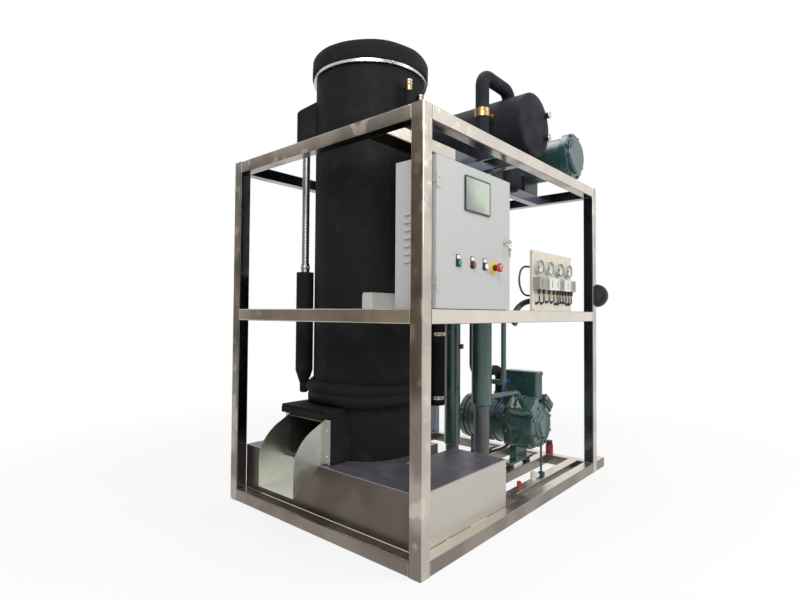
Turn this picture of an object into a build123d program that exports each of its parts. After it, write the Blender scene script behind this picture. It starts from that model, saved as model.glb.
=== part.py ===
"""Tube ice machine: an open square-tube frame with the freezing tower, cutter,
ice chute, water tank, control cabinet, gauge panel and refrigeration plant.

Millimetres, +Z up. Every place below is measured from the near bottom corner of
the frame: X runs along the cabinet side, Y along the ice outlet side. The model
is moved at the end so that its origin is the middle of the frame on the floor.
"""
from build123d import *
import math
import os

# Frame
FRAME_L = 1800.0        # along the cabinet side
FRAME_W = 1300.0        # along the ice outlet side
FRAME_H = 1800.0
TUBE = 60.0             # square tube of the frame
TUBE_R = 5.0            # its rounded corners
UPPER_BAY = 790.0       # from the middle rails' upper face to the top
MID_TOP = FRAME_H - UPPER_BAY
BASE_STUB = 130.0       # front base rail past the end post
BASE_MEMBERS_X = (220.0, 400.0, 720.0, 900.0)
BASE_MEMBERS_Y = (133.0, 340.0, 620.0)
BEAMS_Y = (401.0, 850.0)    # top beams that carry the vessels
SPINE_X = 800.0         # beam across the frame between tower and vessels
FRONT_BEAM = 105.0      # broad beam in front of the tower
GAP = 0.3               # seat between pieces that only rest on each other
RUN = 0.05              # radial clearance of running fits

# Freezing tower
TOWER_X = 458.0
TOWER_Y = 725.0
JACKET_R = 287.0
SHELL_R = 250.0
SHELL_T = 6.0
CHAMBER_BOTTOM = 290.0
CHAMBER_TOP = 540.0
CHAMBER_R = 284.0
BASE_PLATE_T = 12.0
WRAP_R = 312.0
WRAP_H = 110.0
FLANGE_T = 16.0
BAND_R = 302.0
TOWER_TOP = 2222.0      # top face of the shell's upper flange
CAP_R = 312.0
CAP_H = 108.0
TUBE_ROWS = 3           # rings of freezing tubes round the middle one
FREEZE_R = 19.0
FREEZE_T = 2.0
FREEZE_PITCH = 62.0
SHEET_T = 16.0
SHEET_LOW = 590.0
SHEET_HIGH = 2120.0

# Cutter
SHAFT_R = 20.0
DISC_R = 236.0
DISC_T = 12.0
DISC_Z = 505.0
BLADES = 6
BLADE_H = 14.0
MOTOR_R = 60.0
GEARBOX = 124.0
GEARBOX_H = 92.0
MOTOR_BOTTOM = 78.0

# Ice outlet duct, hood and chute
FACE_X = 88.0           # mouth of the duct
DUCT_Y0 = 600.0
DUCT_Y1 = 940.0
DUCT_TOP = 503.0
DUCT_FOAM = 18.0
CHAMBER_FOAM = 34.0
HOOD_OVER = 43.0
HOOD_Y0 = 605.0
HOOD_Y1 = 935.0
CHUTE_Y0 = 640.0
CHUTE_Y1 = 900.0
CHUTE_OUT = 180.0       # reach of the chute past the duct mouth
CHUTE_LOW = 176.0       # height of its front lip
CHUTE_START = 289.0     # height of its floor at the duct
CHUTE_SIDE = 118.0      # height of the upright front edge of each side
CHUTE_TOP = 495.0
SHEET = 2.0             # stainless sheet of the chute, tank and lid
CHUTE_FLANGE = 38.0

# Water tank and lid
TANK_X1 = 740.0
TANK_Y1 = 370.0
TANK_ARM_X1 = 362.0
TANK_TOP = 286.0
LID_FOLD = 16.0

# Control cabinet
CAB_X0 = 85.0
CAB_W = 580.0
CAB_H = 605.0
CAB_D = 189.0
DOOR_T = 20.0
CAB_SHEET = 2.0
LIP = 18.0
DOOR_GAP = 1.0
HINGE_R = 4.5
HINGE_PIN_R = 2.0
HINGE_H = 60.0
HINGE_OUT = 5.0         # hinge axis in front of the door
VENTS = 7
VENT_PITCH = 32.0
SCREEN_W = 198.0
SCREEN_H = 150.0
SCREEN_T = 7.0
SCREEN_Z = MID_TOP + 413.0
CONTROL_Z = MID_TOP + 189.0
BUTTONS_X = (235.0, 342.0, 440.0)
BUTTON_R = 11.0
BEZEL_R = 14.5
STEM_R = 5.0
PRESS = 4.0
HOLDER_T = 2.5
STOP_X = 519.0
STOP_PLATE_R = 30.0
STOP_HEAD_R = 20.0
STOP_STEM_R = 8.0
STOP_PRESS = 6.0
LOCK_X = 622.0
LOCK_Z = MID_TOP + 315.0
LOCK_R = 11.0
CAM_L = 30.0

# Gauge panel
PANEL_X0 = 940.0
PANEL_W = 500.0
PANEL_H = 315.0
PANEL_Y = 20.0
PANEL_T = 3.0
PANEL_FOLD = 14.0
GAUGES_X = (993.0, 1115.0, 1245.0, 1367.0)
GAUGE_Z = MID_TOP + 230.0
GAUGE_R = 35.0
GAUGE_DEEP = 25.0
GAUGE_WALL = 3.0
GAUGE_PIN_R = 1.5
NEEDLE_L = 26.0
CONTROL_BOX_H = 63.0
CONTROL_BOX_TOP = MID_TOP + 175.0
CONTROL_BOX_D = 40.0

# Pressure vessels
RISER_X = 925.0
RISER_Y = 312.0
RISER_R = 38.0
RISER_OVER = 275.0      # crown of the riser's bend over the accumulator's axis
SEPARATOR_R = 55.0
SEPARATOR_Z0 = 481.0
SEPARATOR_Z1 = FRAME_H - 10.0
LEG_R = 42.0
ACC_X = 1224.0
ACC_Z = FRAME_H + 288.0
ACC_R = 183.0
ACC_Y0 = 110.0
ACC_L = 900.0
COND_X = 1640.0
COND_Z = FRAME_H + 190.0
COND_R = 127.0
COND_Y0 = 100.0
COND_L = 1100.0
WATER_STUB_R = 24.0
WATER_STUB_L = 60.0
RECEIVER_X = 996.0
RECEIVER_Y = 556.0
RECEIVER_R = 46.5
RECEIVER_Z0 = 217.0
FEED_X = 842.0
FEED_Y = 561.0
FEED_R = 50.0
FEED_LOW = 478.0
FEED_TOP = 1560.0
SUCTION_X = 1100.0
SUCTION_Y = 470.0
SUCTION_R = 30.0
LINE_R = 14.0           # green discharge lines
POT_X = 1150.0          # oil pot under the accumulator
POT_Y = 250.0
POT_R = 50.0
POT_LOW = FRAME_H - 100.0

# Compressor
COMP_X = 1400.0
COMP_Z = 325.0
COVER_Y = 170.0         # face of the round cover
COVER_R = 130.0
CASE_Y = 215.0
CASE_HALF = 110.0
MOTOR_Y = 380.0
MOTOR_END = 680.0
MOTOR_CASE_R = 133.0
BANK_ANGLE = 38.0       # cylinder banks from the vertical
BANK_OUT = 150.0
BANK_HALF = 52.0
HEAD_T = 32.0
FOOT_Z = 90.0
FOOT_T = 14.0
MOUNT_R = 25.0
MOUNT_X = 105.0
BOX_Z0 = 480.0
BOX_Z1 = 646.0


def block(x0, y0, z0, x1, y1, z1):
    """A box between two corners."""
    low = (Align.MIN, Align.MIN, Align.MIN)
    return Pos(x0, y0, z0) * Box(x1 - x0, y1 - y0, z1 - z0, align=low)


def bar(x0, y0, z0, x1, y1, z1, radius=TUBE_R):
    """A welded square tube with closed ends and rounded long corners."""
    solid = block(x0, y0, z0, x1, y1, z1)
    spans = {Axis.X: x1 - x0, Axis.Y: y1 - y0, Axis.Z: z1 - z0}
    long_axis = max(spans, key=spans.get)
    return fillet(solid.edges().filter_by(long_axis), radius)


def upright(x, y, z0, z1, radius):
    """A round bar standing along Z."""
    low = (Align.CENTER, Align.CENTER, Align.MIN)
    return Pos(x, y, z0) * Cylinder(radius, z1 - z0, align=low)


def along_x(y, z, x0, x1, radius):
    """A round bar lying along X."""
    low = (Align.CENTER, Align.CENTER, Align.MIN)
    return Pos(x0, y, z) * Rot(0, 90, 0) * Cylinder(radius, x1 - x0, align=low)


def along_y(x, z, y0, y1, radius):
    """A round bar lying along Y."""
    low = (Align.CENTER, Align.CENTER, Align.MIN)
    return Pos(x, y0, z) * Rot(-90, 0, 0) * Cylinder(radius, y1 - y0, align=low)


def pipe(points, radius, bend):
    """A round pipe along straight runs joined by bends."""
    path = FilletPolyline(*points, radius=bend)
    return sweep(Plane(path @ 0, z_dir=path % 0) * Circle(radius), path=path)


def turned(points, place=(0, 0, 0), turn=(0, 0, 0)):
    """A turned piece: the (radius, height) outline revolved about its own Z."""
    outline = Plane.XZ * make_face(Polyline(*points, close=True))
    return Pos(*place) * Rot(*turn) * revolve(outline, Axis.Z)


def group(solids):
    """Several separate pieces that share a node."""
    return Compound(children=list(solids))


# Frame

def corner_posts():
    far_x, far_y = FRAME_L - TUBE, FRAME_W - TUBE
    return group(bar(x, y, 0, x + TUBE, y + TUBE, FRAME_H) for x in (0, far_x) for y in (0, far_y))


def rail_ring(top):
    """Four rails between the posts with their upper faces at one height."""
    low, far_x, far_y = top - TUBE, FRAME_L - TUBE, FRAME_W - TUBE
    rails = [bar(TUBE, y, low, far_x, y + TUBE, top) for y in (0, far_y)]
    rails += [bar(x, TUBE, low, x + TUBE, far_y, top) for x in (0, far_x)]
    return rails


def base_frame():
    stub = bar(FRAME_L, 0, 0, FRAME_L + BASE_STUB, TUBE, TUBE)
    return group(rail_ring(TUBE) + base_members() + [stub])


def middle_rails():
    """Middle rails with the cabinet's brackets and the terminal box's bracket."""
    low = MID_TOP - TUBE
    pieces = rail_ring(MID_TOP)
    for x in (CAB_X0 + 15, cab_x1() - 55):
        pieces.append(block(x, TUBE, low + 20, x + 40, cab_front() + CAB_D, MID_TOP))
    pieces.append(block(TUBE, JUNCTION_Y - 20, MID_TOP - 8, TUBE + 170, JUNCTION_Y + 20, MID_TOP))
    return group(pieces)


JUNCTION_Y = 349.0


def base_members():
    half, far_x, far_y = TUBE / 2, FRAME_L - TUBE, FRAME_W - TUBE
    members = [bar(x - half, TUBE, 0, x + half, far_y, TUBE) for x in BASE_MEMBERS_X]
    start = BASE_MEMBERS_X[-1] + half
    members += [bar(start, y - half, 0, far_x, y + half, TUBE) for y in BASE_MEMBERS_Y]
    return members


def top_frame():
    """Top rails, the broad beam by the tower and the beams under the vessels."""
    low, far_x, far_y, half = FRAME_H - TUBE, FRAME_L - TUBE, FRAME_W - TUBE, TUBE / 2
    beams = [bar(TUBE, 240, low, SPINE_X, 240 + FRONT_BEAM, FRAME_H)]
    beams.append(bar(SPINE_X, TUBE, low, SPINE_X + TUBE, far_y, FRAME_H))
    beams += [bar(SPINE_X + TUBE, y - half, low, far_x, y + half, FRAME_H) for y in BEAMS_Y]
    return group(rail_ring(FRAME_H) + beams)


# Freezing tower

def tower_ring(z0, z1, outer, inner):
    ring = upright(TOWER_X, TOWER_Y, z0, z1, outer)
    return ring - upright(TOWER_X, TOWER_Y, z0 - 1, z1 + 1, inner)


def tower_stand():
    """Two portal frames of square tube under the cutter chamber."""
    half, x0, x1 = 25.0, BASE_MEMBERS_X[1], BASE_MEMBERS_X[2]
    pieces = []
    for y in (500.0, 950.0):
        frame = block(x0 - half, y - half, CHAMBER_BOTTOM - 2 * half, x1 + half, y + half, CHAMBER_BOTTOM)
        for x in (x0, x1):
            frame += block(x - half, y - half, TUBE, x + half, y + half, CHAMBER_BOTTOM - 2 * half)
        pieces.append(frame)
    return group(pieces)


def tower_shell():
    """Welded shell with a flange at each end."""
    inner = SHELL_R - SHELL_T
    body = tower_ring(CHAMBER_TOP, TOWER_TOP, SHELL_R - GAP, inner)
    low = tower_ring(CHAMBER_TOP, CHAMBER_TOP + FLANGE_T, CHAMBER_R, inner)
    high = tower_ring(TOWER_TOP - FLANGE_T, TOWER_TOP, JACKET_R, inner)
    return body + low + high


def tower_jacket():
    """Foam insulation round the shell, between the wrap and the upper flange."""
    return tower_ring(CHAMBER_TOP + WRAP_H + GAP, TOWER_TOP - FLANGE_T - GAP, JACKET_R, SHELL_R)


def tower_foam():
    return group([tower_jacket(), base_wrap()])


def base_wrap():
    """Thick foam roll round the lower flange and the shell's foot."""
    low, high, soft = CHAMBER_TOP + GAP, CHAMBER_TOP + WRAP_H, 14.0
    flange, over = CHAMBER_R + GAP, CHAMBER_TOP + FLANGE_T + GAP
    points = [(flange, low), (WRAP_R - soft, low), (WRAP_R, low + soft), (WRAP_R, high - soft)]
    points += [(WRAP_R - soft, high), (SHELL_R, high), (SHELL_R, over), (flange, over)]
    return turned(points, (TOWER_X, TOWER_Y, 0))


def clamp_band():
    """Bright clamping ring under the cap, closed by a bolted lug."""
    low, high = TOWER_TOP - FLANGE_T, TOWER_TOP
    return tower_ring(low, high, BAND_R, JACKET_R + GAP)


def tower_cap():
    """Insulated top cover with a soft rounded shoulder."""
    cap = upright(TOWER_X, TOWER_Y, TOWER_TOP, TOWER_TOP + CAP_H, CAP_R)
    return fillet(cap.edges().sort_by(Axis.Z)[-1:], 36.0)


def tube_places():
    """Middles of the freezing tubes: hexagon rings round the middle one."""
    rows = range(-TUBE_ROWS, TUBE_ROWS + 1)
    places = [(i, j) for i in rows for j in rows if abs(i + j) <= TUBE_ROWS]
    rise = math.sqrt(3) / 2
    return [((i + j / 2) * FREEZE_PITCH, j * rise * FREEZE_PITCH) for i, j in places]


def tube_bundle():
    """Freezing tubes welded into a plate at each end."""
    plate_r = SHELL_R - SHELL_T - GAP
    bundle = upright(0, 0, SHEET_LOW, SHEET_LOW + SHEET_T, plate_r)
    bundle += upright(0, 0, SHEET_HIGH - SHEET_T, SHEET_HIGH, plate_r)
    tubes = [upright(x, y, SHEET_LOW, SHEET_HIGH, FREEZE_R) for x, y in tube_places()]
    bores = [upright(x, y, SHEET_LOW - 1, SHEET_HIGH + 1, FREEZE_R - FREEZE_T) for x, y in tube_places()]
    return Pos(TOWER_X, TOWER_Y, 0) * (bundle + tubes - bores)


def cutter_chamber():
    """Stainless chamber with a floor, an open top and the duct on its outlet side."""
    floor_z, t = CHAMBER_BOTTOM + BASE_PLATE_T, 6.0
    liner_r = CHAMBER_R - CHAMBER_FOAM - GAP
    y0, y1 = CHUTE_Y0 - t, CHUTE_Y1 + t
    body = upright(TOWER_X, TOWER_Y, CHAMBER_BOTTOM, CHAMBER_TOP, liner_r)
    body += block(FACE_X, y0, CHAMBER_BOTTOM, TOWER_X, y1, DUCT_TOP - DUCT_FOAM)
    body -= upright(TOWER_X, TOWER_Y, floor_z, CHAMBER_TOP + 1, liner_r - t)
    body -= block(FACE_X - 1, CHUTE_Y0, floor_z, TOWER_X, CHUTE_Y1, DUCT_TOP - DUCT_FOAM - t)
    return body - upright(TOWER_X, TOWER_Y, CHAMBER_BOTTOM - 1, floor_z + 1, SHAFT_R + RUN)


def chamber_foam():
    """Foam round the chamber and over the duct."""
    liner_r = CHAMBER_R - CHAMBER_FOAM
    foam = upright(TOWER_X, TOWER_Y, CHAMBER_BOTTOM, CHAMBER_TOP, CHAMBER_R)
    foam += block(FACE_X, DUCT_Y0, CHAMBER_BOTTOM, TOWER_X, DUCT_Y1, DUCT_TOP)
    foam -= upright(TOWER_X, TOWER_Y, CHAMBER_BOTTOM - 1, CHAMBER_TOP + 1, liner_r)
    t = 6.0 + GAP
    top = DUCT_TOP - DUCT_FOAM + GAP
    return foam - block(FACE_X - 1, CHUTE_Y0 - t, CHAMBER_BOTTOM - 1, TOWER_X, CHUTE_Y1 + t, top)


def outlet_foam():
    return group([chamber_foam(), outlet_hood()])


def outlet_hood():
    """Foam-covered hood over the duct that sticks out above the chute."""
    front, high = FACE_X - HOOD_OVER, CHAMBER_TOP - 1
    slab = block(front, HOOD_Y0, DUCT_TOP + GAP, TOWER_X, HOOD_Y1, high)
    slab = fillet(slab.edges().filter_by(Axis.Z).sort_by(Axis.X)[:2], 26.0)
    slab -= block(front - 1, HOOD_Y0 - 1, high - 12, front + 14, HOOD_Y1 + 1, high + 1)
    return slab - upright(TOWER_X, TOWER_Y, DUCT_TOP - 1, CHAMBER_TOP + 1, CHAMBER_R + GAP)


def cutter_disc():
    """Slotted cutting disc with its blades and drive shaft."""
    disc = upright(0, 0, DISC_Z, DISC_Z + DISC_T, DISC_R)
    slot = block(52, -34, DISC_Z - 1, DISC_R - 26, 34, DISC_Z + DISC_T + 1)
    slot = fillet(slot.edges().filter_by(Axis.Z), 20.0)
    blade = block(60, -46, DISC_Z + DISC_T, DISC_R - 18, -38, DISC_Z + DISC_T + BLADE_H)
    for step in range(BLADES):
        turn = Rot(0, 0, 360 * step / BLADES)
        disc -= turn * slot
    for step in range(BLADES):
        disc += Rot(0, 0, 360 * step / BLADES) * blade
    disc += upright(0, 0, DISC_Z - 60, DISC_Z, 42.0)
    disc += upright(0, 0, CHAMBER_BOTTOM - 50, DISC_Z, SHAFT_R)
    return Pos(TOWER_X, TOWER_Y, 0) * disc


def cutter_motor():
    """Gear motor bolted under the chamber floor."""
    top = CHAMBER_BOTTOM
    half = GEARBOX / 2
    box = block(-half, -half, top - GEARBOX_H, half, half, top)
    body = fillet(box.edges().filter_by(Axis.Z), 14.0)
    body += upright(0, 0, MOTOR_BOTTOM, top - GEARBOX_H, MOTOR_R)
    body += upright(0, 0, MOTOR_BOTTOM, MOTOR_BOTTOM + 30, MOTOR_R + 3)
    body -= upright(0, 0, top - 60, top + 1, SHAFT_R + RUN)
    return Pos(TOWER_X, TOWER_Y, 0) * body


# Ice chute

def chute_side_outline():
    """Side plate seen square on: X runs out of the duct, Z is the height."""
    out, level = FACE_X - CHUTE_OUT, (TUBE - 2, CHUTE_START)
    knee, brow = (out + 6, CHUTE_LOW + CHUTE_SIDE + 58), (FACE_X - 70, CHUTE_TOP - 36)
    lower = Polyline((FACE_X, CHUTE_TOP), (FACE_X, CHUTE_START), level, (out, CHUTE_LOW),
                     (out, CHUTE_LOW + CHUTE_SIDE), knee)
    curve = ThreePointArc(knee, (out + 63, CHUTE_TOP - 67), brow)
    return make_face([lower, curve, Line(brow, (FACE_X, CHUTE_TOP))])


def ice_chute():
    """Folded sheet chute: sloping floor, two curved sides and two screw flanges."""
    outline = Plane.XZ * chute_side_outline()
    side = extrude(outline, SHEET, dir=(0, 1, 0))
    sides = [Pos(0, y, 0) * side for y in (CHUTE_Y0, CHUTE_Y1 - SHEET)]
    out = FACE_X - CHUTE_OUT
    bend = TUBE - 2
    slope = Polyline((FACE_X, CHUTE_START), (bend, CHUTE_START), (out, CHUTE_LOW), (out, CHUTE_LOW + SHEET),
                     (bend, CHUTE_START + SHEET), (FACE_X, CHUTE_START + SHEET), close=True)
    floor = Pos(0, CHUTE_Y0, 0) * extrude(Plane.XZ * make_face(slope), CHUTE_Y1 - CHUTE_Y0, dir=(0, 1, 0))
    chute = floor + sides
    for y0 in (CHUTE_Y0 - CHUTE_FLANGE, CHUTE_Y1 - SHEET):
        y1 = y0 + CHUTE_FLANGE + SHEET
        chute += block(FACE_X - SHEET, y0, CHUTE_START, FACE_X, y1, CHUTE_TOP)
    return chute


def chute_screws():
    """Four pan head screws through the chute's flanges."""
    inset, length = 15.0, 3.4
    heads = []
    for y in (CHUTE_Y0 - inset, CHUTE_Y1 + inset):
        for z in (CHUTE_START + 36.0, CHUTE_TOP - 50.0):
            face = FACE_X - SHEET
            head = along_x(y, z, face - length, face, 6.0)
            heads.append(chamfer(head.edges().sort_by(Axis.X)[:1], 1.5))
    return group(heads)


# Water circuit

def tank_outline(inset):
    """L-shaped plan of the tank, moved inward by inset."""
    x0, y0, x1, y1 = TUBE + inset, TUBE + inset, TANK_X1 - inset, TANK_Y1 - inset
    arm_x, arm_y = TANK_ARM_X1 - inset, FRAME_W - TUBE - inset
    corners = [(x0, y0), (x1, y0), (x1, y1), (arm_x, y1), (arm_x, arm_y), (x0, arm_y)]
    return make_face(Polyline(*corners, close=True))


def water_tank():
    """Open-topped L-shaped sheet tank standing on the base grid."""
    height = TANK_TOP - SHEET - TUBE
    tank = Pos(0, 0, TUBE) * extrude(tank_outline(0), height)
    tank -= Pos(0, 0, TUBE + SHEET) * extrude(tank_outline(SHEET), height)
    return tank - along_x(FLOAT_Y, FLOAT_Z, TANK_X1 - SHEET - 1, TANK_X1 + 1, 10.5 + GAP)


def tank_lid():
    """Loose sheet lid with a folded edge hanging inside the tank's wall."""
    lid = Pos(0, 0, TANK_TOP - SHEET) * extrude(tank_outline(0), SHEET)
    skirt = extrude(tank_outline(SHEET + GAP), LID_FOLD) - extrude(tank_outline(2 * SHEET + GAP), LID_FOLD)
    return lid + Pos(0, 0, TANK_TOP - SHEET - LID_FOLD) * skirt


FLOAT_Y = 300.0
FLOAT_Z = 190.0
FLOAT_PIN_R = 3.0


def float_valve():
    """Inlet valve through the tank's end wall, with the pivot pin of its arm."""
    wall = TANK_X1
    body = along_x(FLOAT_Y, FLOAT_Z, wall - 40, wall - SHEET, 14.0)
    body += along_x(FLOAT_Y, FLOAT_Z, wall - SHEET, wall, 10.5)
    body += along_x(FLOAT_Y, FLOAT_Z, wall, wall + 30, 10.0)
    for side in (-1, 1):
        y = FLOAT_Y + side * 13
        body += block(wall - 60, y - 3, FLOAT_Z - 8, wall - 30, y + 3, FLOAT_Z + 8)
    return body + along_y(wall - 52, FLOAT_Z, FLOAT_Y - 14, FLOAT_Y + 14, FLOAT_PIN_R)


def float_arm():
    """Lever and ball float that shut the inlet valve."""
    hub_x, ball = TANK_X1 - 52, 38.0
    arm = along_y(hub_x, FLOAT_Z, FLOAT_Y - 9.5, FLOAT_Y + 9.5, 8.0)
    arm -= along_y(hub_x, FLOAT_Z, FLOAT_Y - 12, FLOAT_Y + 12, FLOAT_PIN_R + RUN)
    rod = along_x(FLOAT_Y, FLOAT_Z, hub_x - 165, hub_x - 6, 4.0)
    return arm + rod + Pos(hub_x - 190, FLOAT_Y, FLOAT_Z) * Rot(0, 90, 0) * Sphere(ball)


PUMP_X = 590.0
PUMP_Y = 1120.0


def water_pump():
    """Circulation pump on the base behind the tower: volute, motor and long foot."""
    centre, foot_top = TUBE + 95, TUBE + 12
    pump = along_x(PUMP_Y, centre, PUMP_X - 90, PUMP_X - 40, 78.0)
    pump += along_x(PUMP_Y, centre, PUMP_X - 120, PUMP_X - 90, 30.0)
    pump += upright(PUMP_X - 65, PUMP_Y, centre, centre + 110, 24.0)
    pump += along_x(PUMP_Y, centre, PUMP_X - 40, PUMP_X + 110, 62.0)
    pump += along_x(PUMP_Y, centre, PUMP_X + 110, PUMP_X + 140, 66.0)
    pump += block(BASE_MEMBERS_X[1], PUMP_Y - 60, TUBE, BASE_MEMBERS_X[2], PUMP_Y + 60, foot_top)
    return pump + block(PUMP_X - 10, PUMP_Y - 20, foot_top - 1, PUMP_X + 90, PUMP_Y + 20, centre - 40)


def pump_pipes():
    """Suction pipe from the tank and delivery pipe up the tower's back to its head."""
    centre, x, high = TUBE + 95, PUMP_X - 65, TOWER_TOP - 60
    suction = along_x(PUMP_Y, centre, TANK_ARM_X1, PUMP_X - 120, 22.0)
    delivery = pipe([(x, PUMP_Y, centre + 110), (x, PUMP_Y, high), (x, TOWER_Y + 150, high)], 21.0, 60.0)
    return group([suction, delivery - upright(TOWER_X, TOWER_Y, high - 60, high + 60, JACKET_R + GAP)])


LEVEL_X = 221.0
LEVEL_Y = 966.0
LEVEL_R = 17.5
COLUMN_R = 45.0
COLUMN_TOP = 1205.0
HEAD_Z0 = TOWER_TOP - 360.0
HEAD_Z1 = TOWER_TOP - 121.0


def level_column():
    """Bare vertical pipe of the level column with a collar at each end."""
    body = upright(LEVEL_X, LEVEL_Y, COLUMN_TOP, HEAD_Z0, LEVEL_R)
    body += upright(LEVEL_X, LEVEL_Y, HEAD_Z0 - 26, HEAD_Z0 - 4, LEVEL_R + 4)
    return body + upright(LEVEL_X, LEVEL_Y, COLUMN_TOP, COLUMN_TOP + 46, LEVEL_R + 5)


def column_foot():
    """Foam-covered lower part of the level column, tapered into the tower's foot."""
    r, neck, low, turn_z = COLUMN_R, 22.0, 575.0, 602.0
    outline = [(0, low), (neck - 6, low), (neck, low + 6), (neck, turn_z + 20), (r, turn_z + 90)]
    outline += [(r, COLUMN_TOP), (0, COLUMN_TOP)]
    body = turned(outline, (LEVEL_X, LEVEL_Y, 0))
    angle = math.degrees(math.atan2(TOWER_Y - LEVEL_Y, TOWER_X - LEVEL_X))
    body += Pos(LEVEL_X, LEVEL_Y, 0) * Rot(0, 0, angle) * along_x(0, turn_z, 0, 60, neck - 2)
    return body - upright(TOWER_X, TOWER_Y, low - 10, CHAMBER_TOP + WRAP_H + 1, WRAP_R + GAP)


def column_head():
    """Foam-covered head that joins the level column to the tower."""
    half, back = 55.0, 48.0
    angle = math.degrees(math.atan2(TOWER_Y - LEVEL_Y, TOWER_X - LEVEL_X))
    head = block(-back, -half, HEAD_Z0, 110, half, HEAD_Z1)
    head = fillet(head.edges().filter_by(Axis.Z).sort_by(Axis.X)[:2], 30.0)
    wedge = Polyline((-back - 1, HEAD_Z1 - 60), (-back - 1, HEAD_Z1 + 1), (60, HEAD_Z1 + 1), close=True)
    head -= Pos(0, -half - 1, 0) * extrude(Plane.XZ * make_face(wedge), 2 * half + 2, dir=(0, 1, 0))
    head = Pos(LEVEL_X, LEVEL_Y, 0) * Rot(0, 0, angle) * head
    return head - upright(TOWER_X, TOWER_Y, HEAD_Z0 - 1, HEAD_Z1 + 1, JACKET_R + GAP)


def feed_column():
    """Foam-covered liquid column that turns into the tower, with its steel clamp."""
    angle = math.atan2(FEED_Y - TOWER_Y, FEED_X - TOWER_X)
    entry = (TOWER_X + 250 * math.cos(angle), TOWER_Y + 250 * math.sin(angle), FEED_TOP)
    body = pipe([(FEED_X, FEED_Y, FEED_LOW), (FEED_X, FEED_Y, FEED_TOP), entry], FEED_R, 70.0)
    body += upright(FEED_X, FEED_Y, 866.0, 888.0, FEED_R + 3)
    return body - upright(TOWER_X, TOWER_Y, FEED_TOP - 90, FEED_TOP + 90, JACKET_R + GAP)


def column_foam():
    return group([column_foot(), column_head(), feed_column()] + hot_gas_pipes())


GAS_X = 397.0
GAS_Y = 403.0
GAS_TOP = TOWER_TOP - 144.0
BLEED_X = 518.0
BLEED_Y = 429.0
BLEED_TOP = TOWER_TOP - 172.0


def tower_drop(x, y, radius, high, low):
    """A pipe that runs down in front of the tower and turns into it at both ends."""
    outer = JACKET_R + GAP
    angle = math.atan2(y - TOWER_Y, x - TOWER_X)
    inner = (TOWER_X + (outer - 12) * math.cos(angle), TOWER_Y + (outer - 12) * math.sin(angle))
    path = [(x, y, high), (x, y, low), (inner[0], inner[1], low)]
    body = pipe(path, radius, min(radius + 2, math.dist(inner, (x, y)) - 1))
    return body - upright(TOWER_X, TOWER_Y, low - 100, high + 100, outer)


def hot_gas_pipes():
    """Foam-covered gas pipe and the thinner bleed pipe beside it."""
    gas = tower_drop(GAS_X, GAS_Y, 24.0, GAS_TOP, 1120.0)
    return [gas, tower_drop(BLEED_X, BLEED_Y, 9.0, BLEED_TOP, 1150.0)]


def fitting(x, y, z, radius):
    """Angle valve: a body on its pipe, a cap on top and a neck into the tower."""
    outer = JACKET_R + GAP
    angle = math.degrees(math.atan2(TOWER_Y - y, TOWER_X - x))
    reach = math.dist((x, y), (TOWER_X, TOWER_Y))
    body = upright(0, 0, 0, 46, radius) + upright(0, 0, 46, 58, radius * 0.7)
    stand = (Align.CENTER, Align.CENTER, Align.MIN)
    neck = Pos(0, 0, 30) * Rot(0, 90, 0) * Cylinder(radius * 0.6, reach, align=stand)
    body = Pos(x, y, z) * Rot(0, 0, angle) * (body + neck)
    return body - upright(TOWER_X, TOWER_Y, z - 50, z + 100, outer)


def brass_valves():
    """The tower's two angle valves and the stop valve on the riser."""
    tower = [fitting(GAS_X, GAS_Y, GAS_TOP, 15.0), fitting(BLEED_X, BLEED_Y, BLEED_TOP, 12.0)]
    return group(tower + [riser_valve()])


# Control cabinet

def cab_x1():
    return CAB_X0 + CAB_W


def cab_front():
    return DOOR_T + DOOR_GAP


def hinge_places():
    low, high = MID_TOP + 70, MID_TOP + CAB_H - 70 - HINGE_H
    return (low, high)


def cabinet_body():
    """Sheet box open to the front, with a turned-in lip and the fixed hinge leaves."""
    y0, y1, z1 = cab_front(), cab_front() + CAB_D, MID_TOP + CAB_H
    t = CAB_SHEET
    body = block(CAB_X0, y0, MID_TOP, cab_x1(), y1, z1)
    body -= block(CAB_X0 + t, y0 + t, MID_TOP + t, cab_x1() - t, y1 - t, z1 - t)
    body -= block(CAB_X0 + LIP, y0 - 1, MID_TOP + LIP, cab_x1() - LIP, y0 + t + 1, z1 - LIP)
    axis_x, axis_y, third = CAB_X0 - 1, -HINGE_OUT, HINGE_H / 3
    for z in hinge_places():
        leaf = block(CAB_X0 - SHEET, axis_y, z + third, CAB_X0, y0 + 34, z + 2 * third)
        knuckle = upright(axis_x, axis_y, z + third, z + 2 * third, HINGE_R)
        body += leaf + knuckle + upright(axis_x, axis_y, z, z + HINGE_H, HINGE_PIN_R)
    return body + side_vents()


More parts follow.
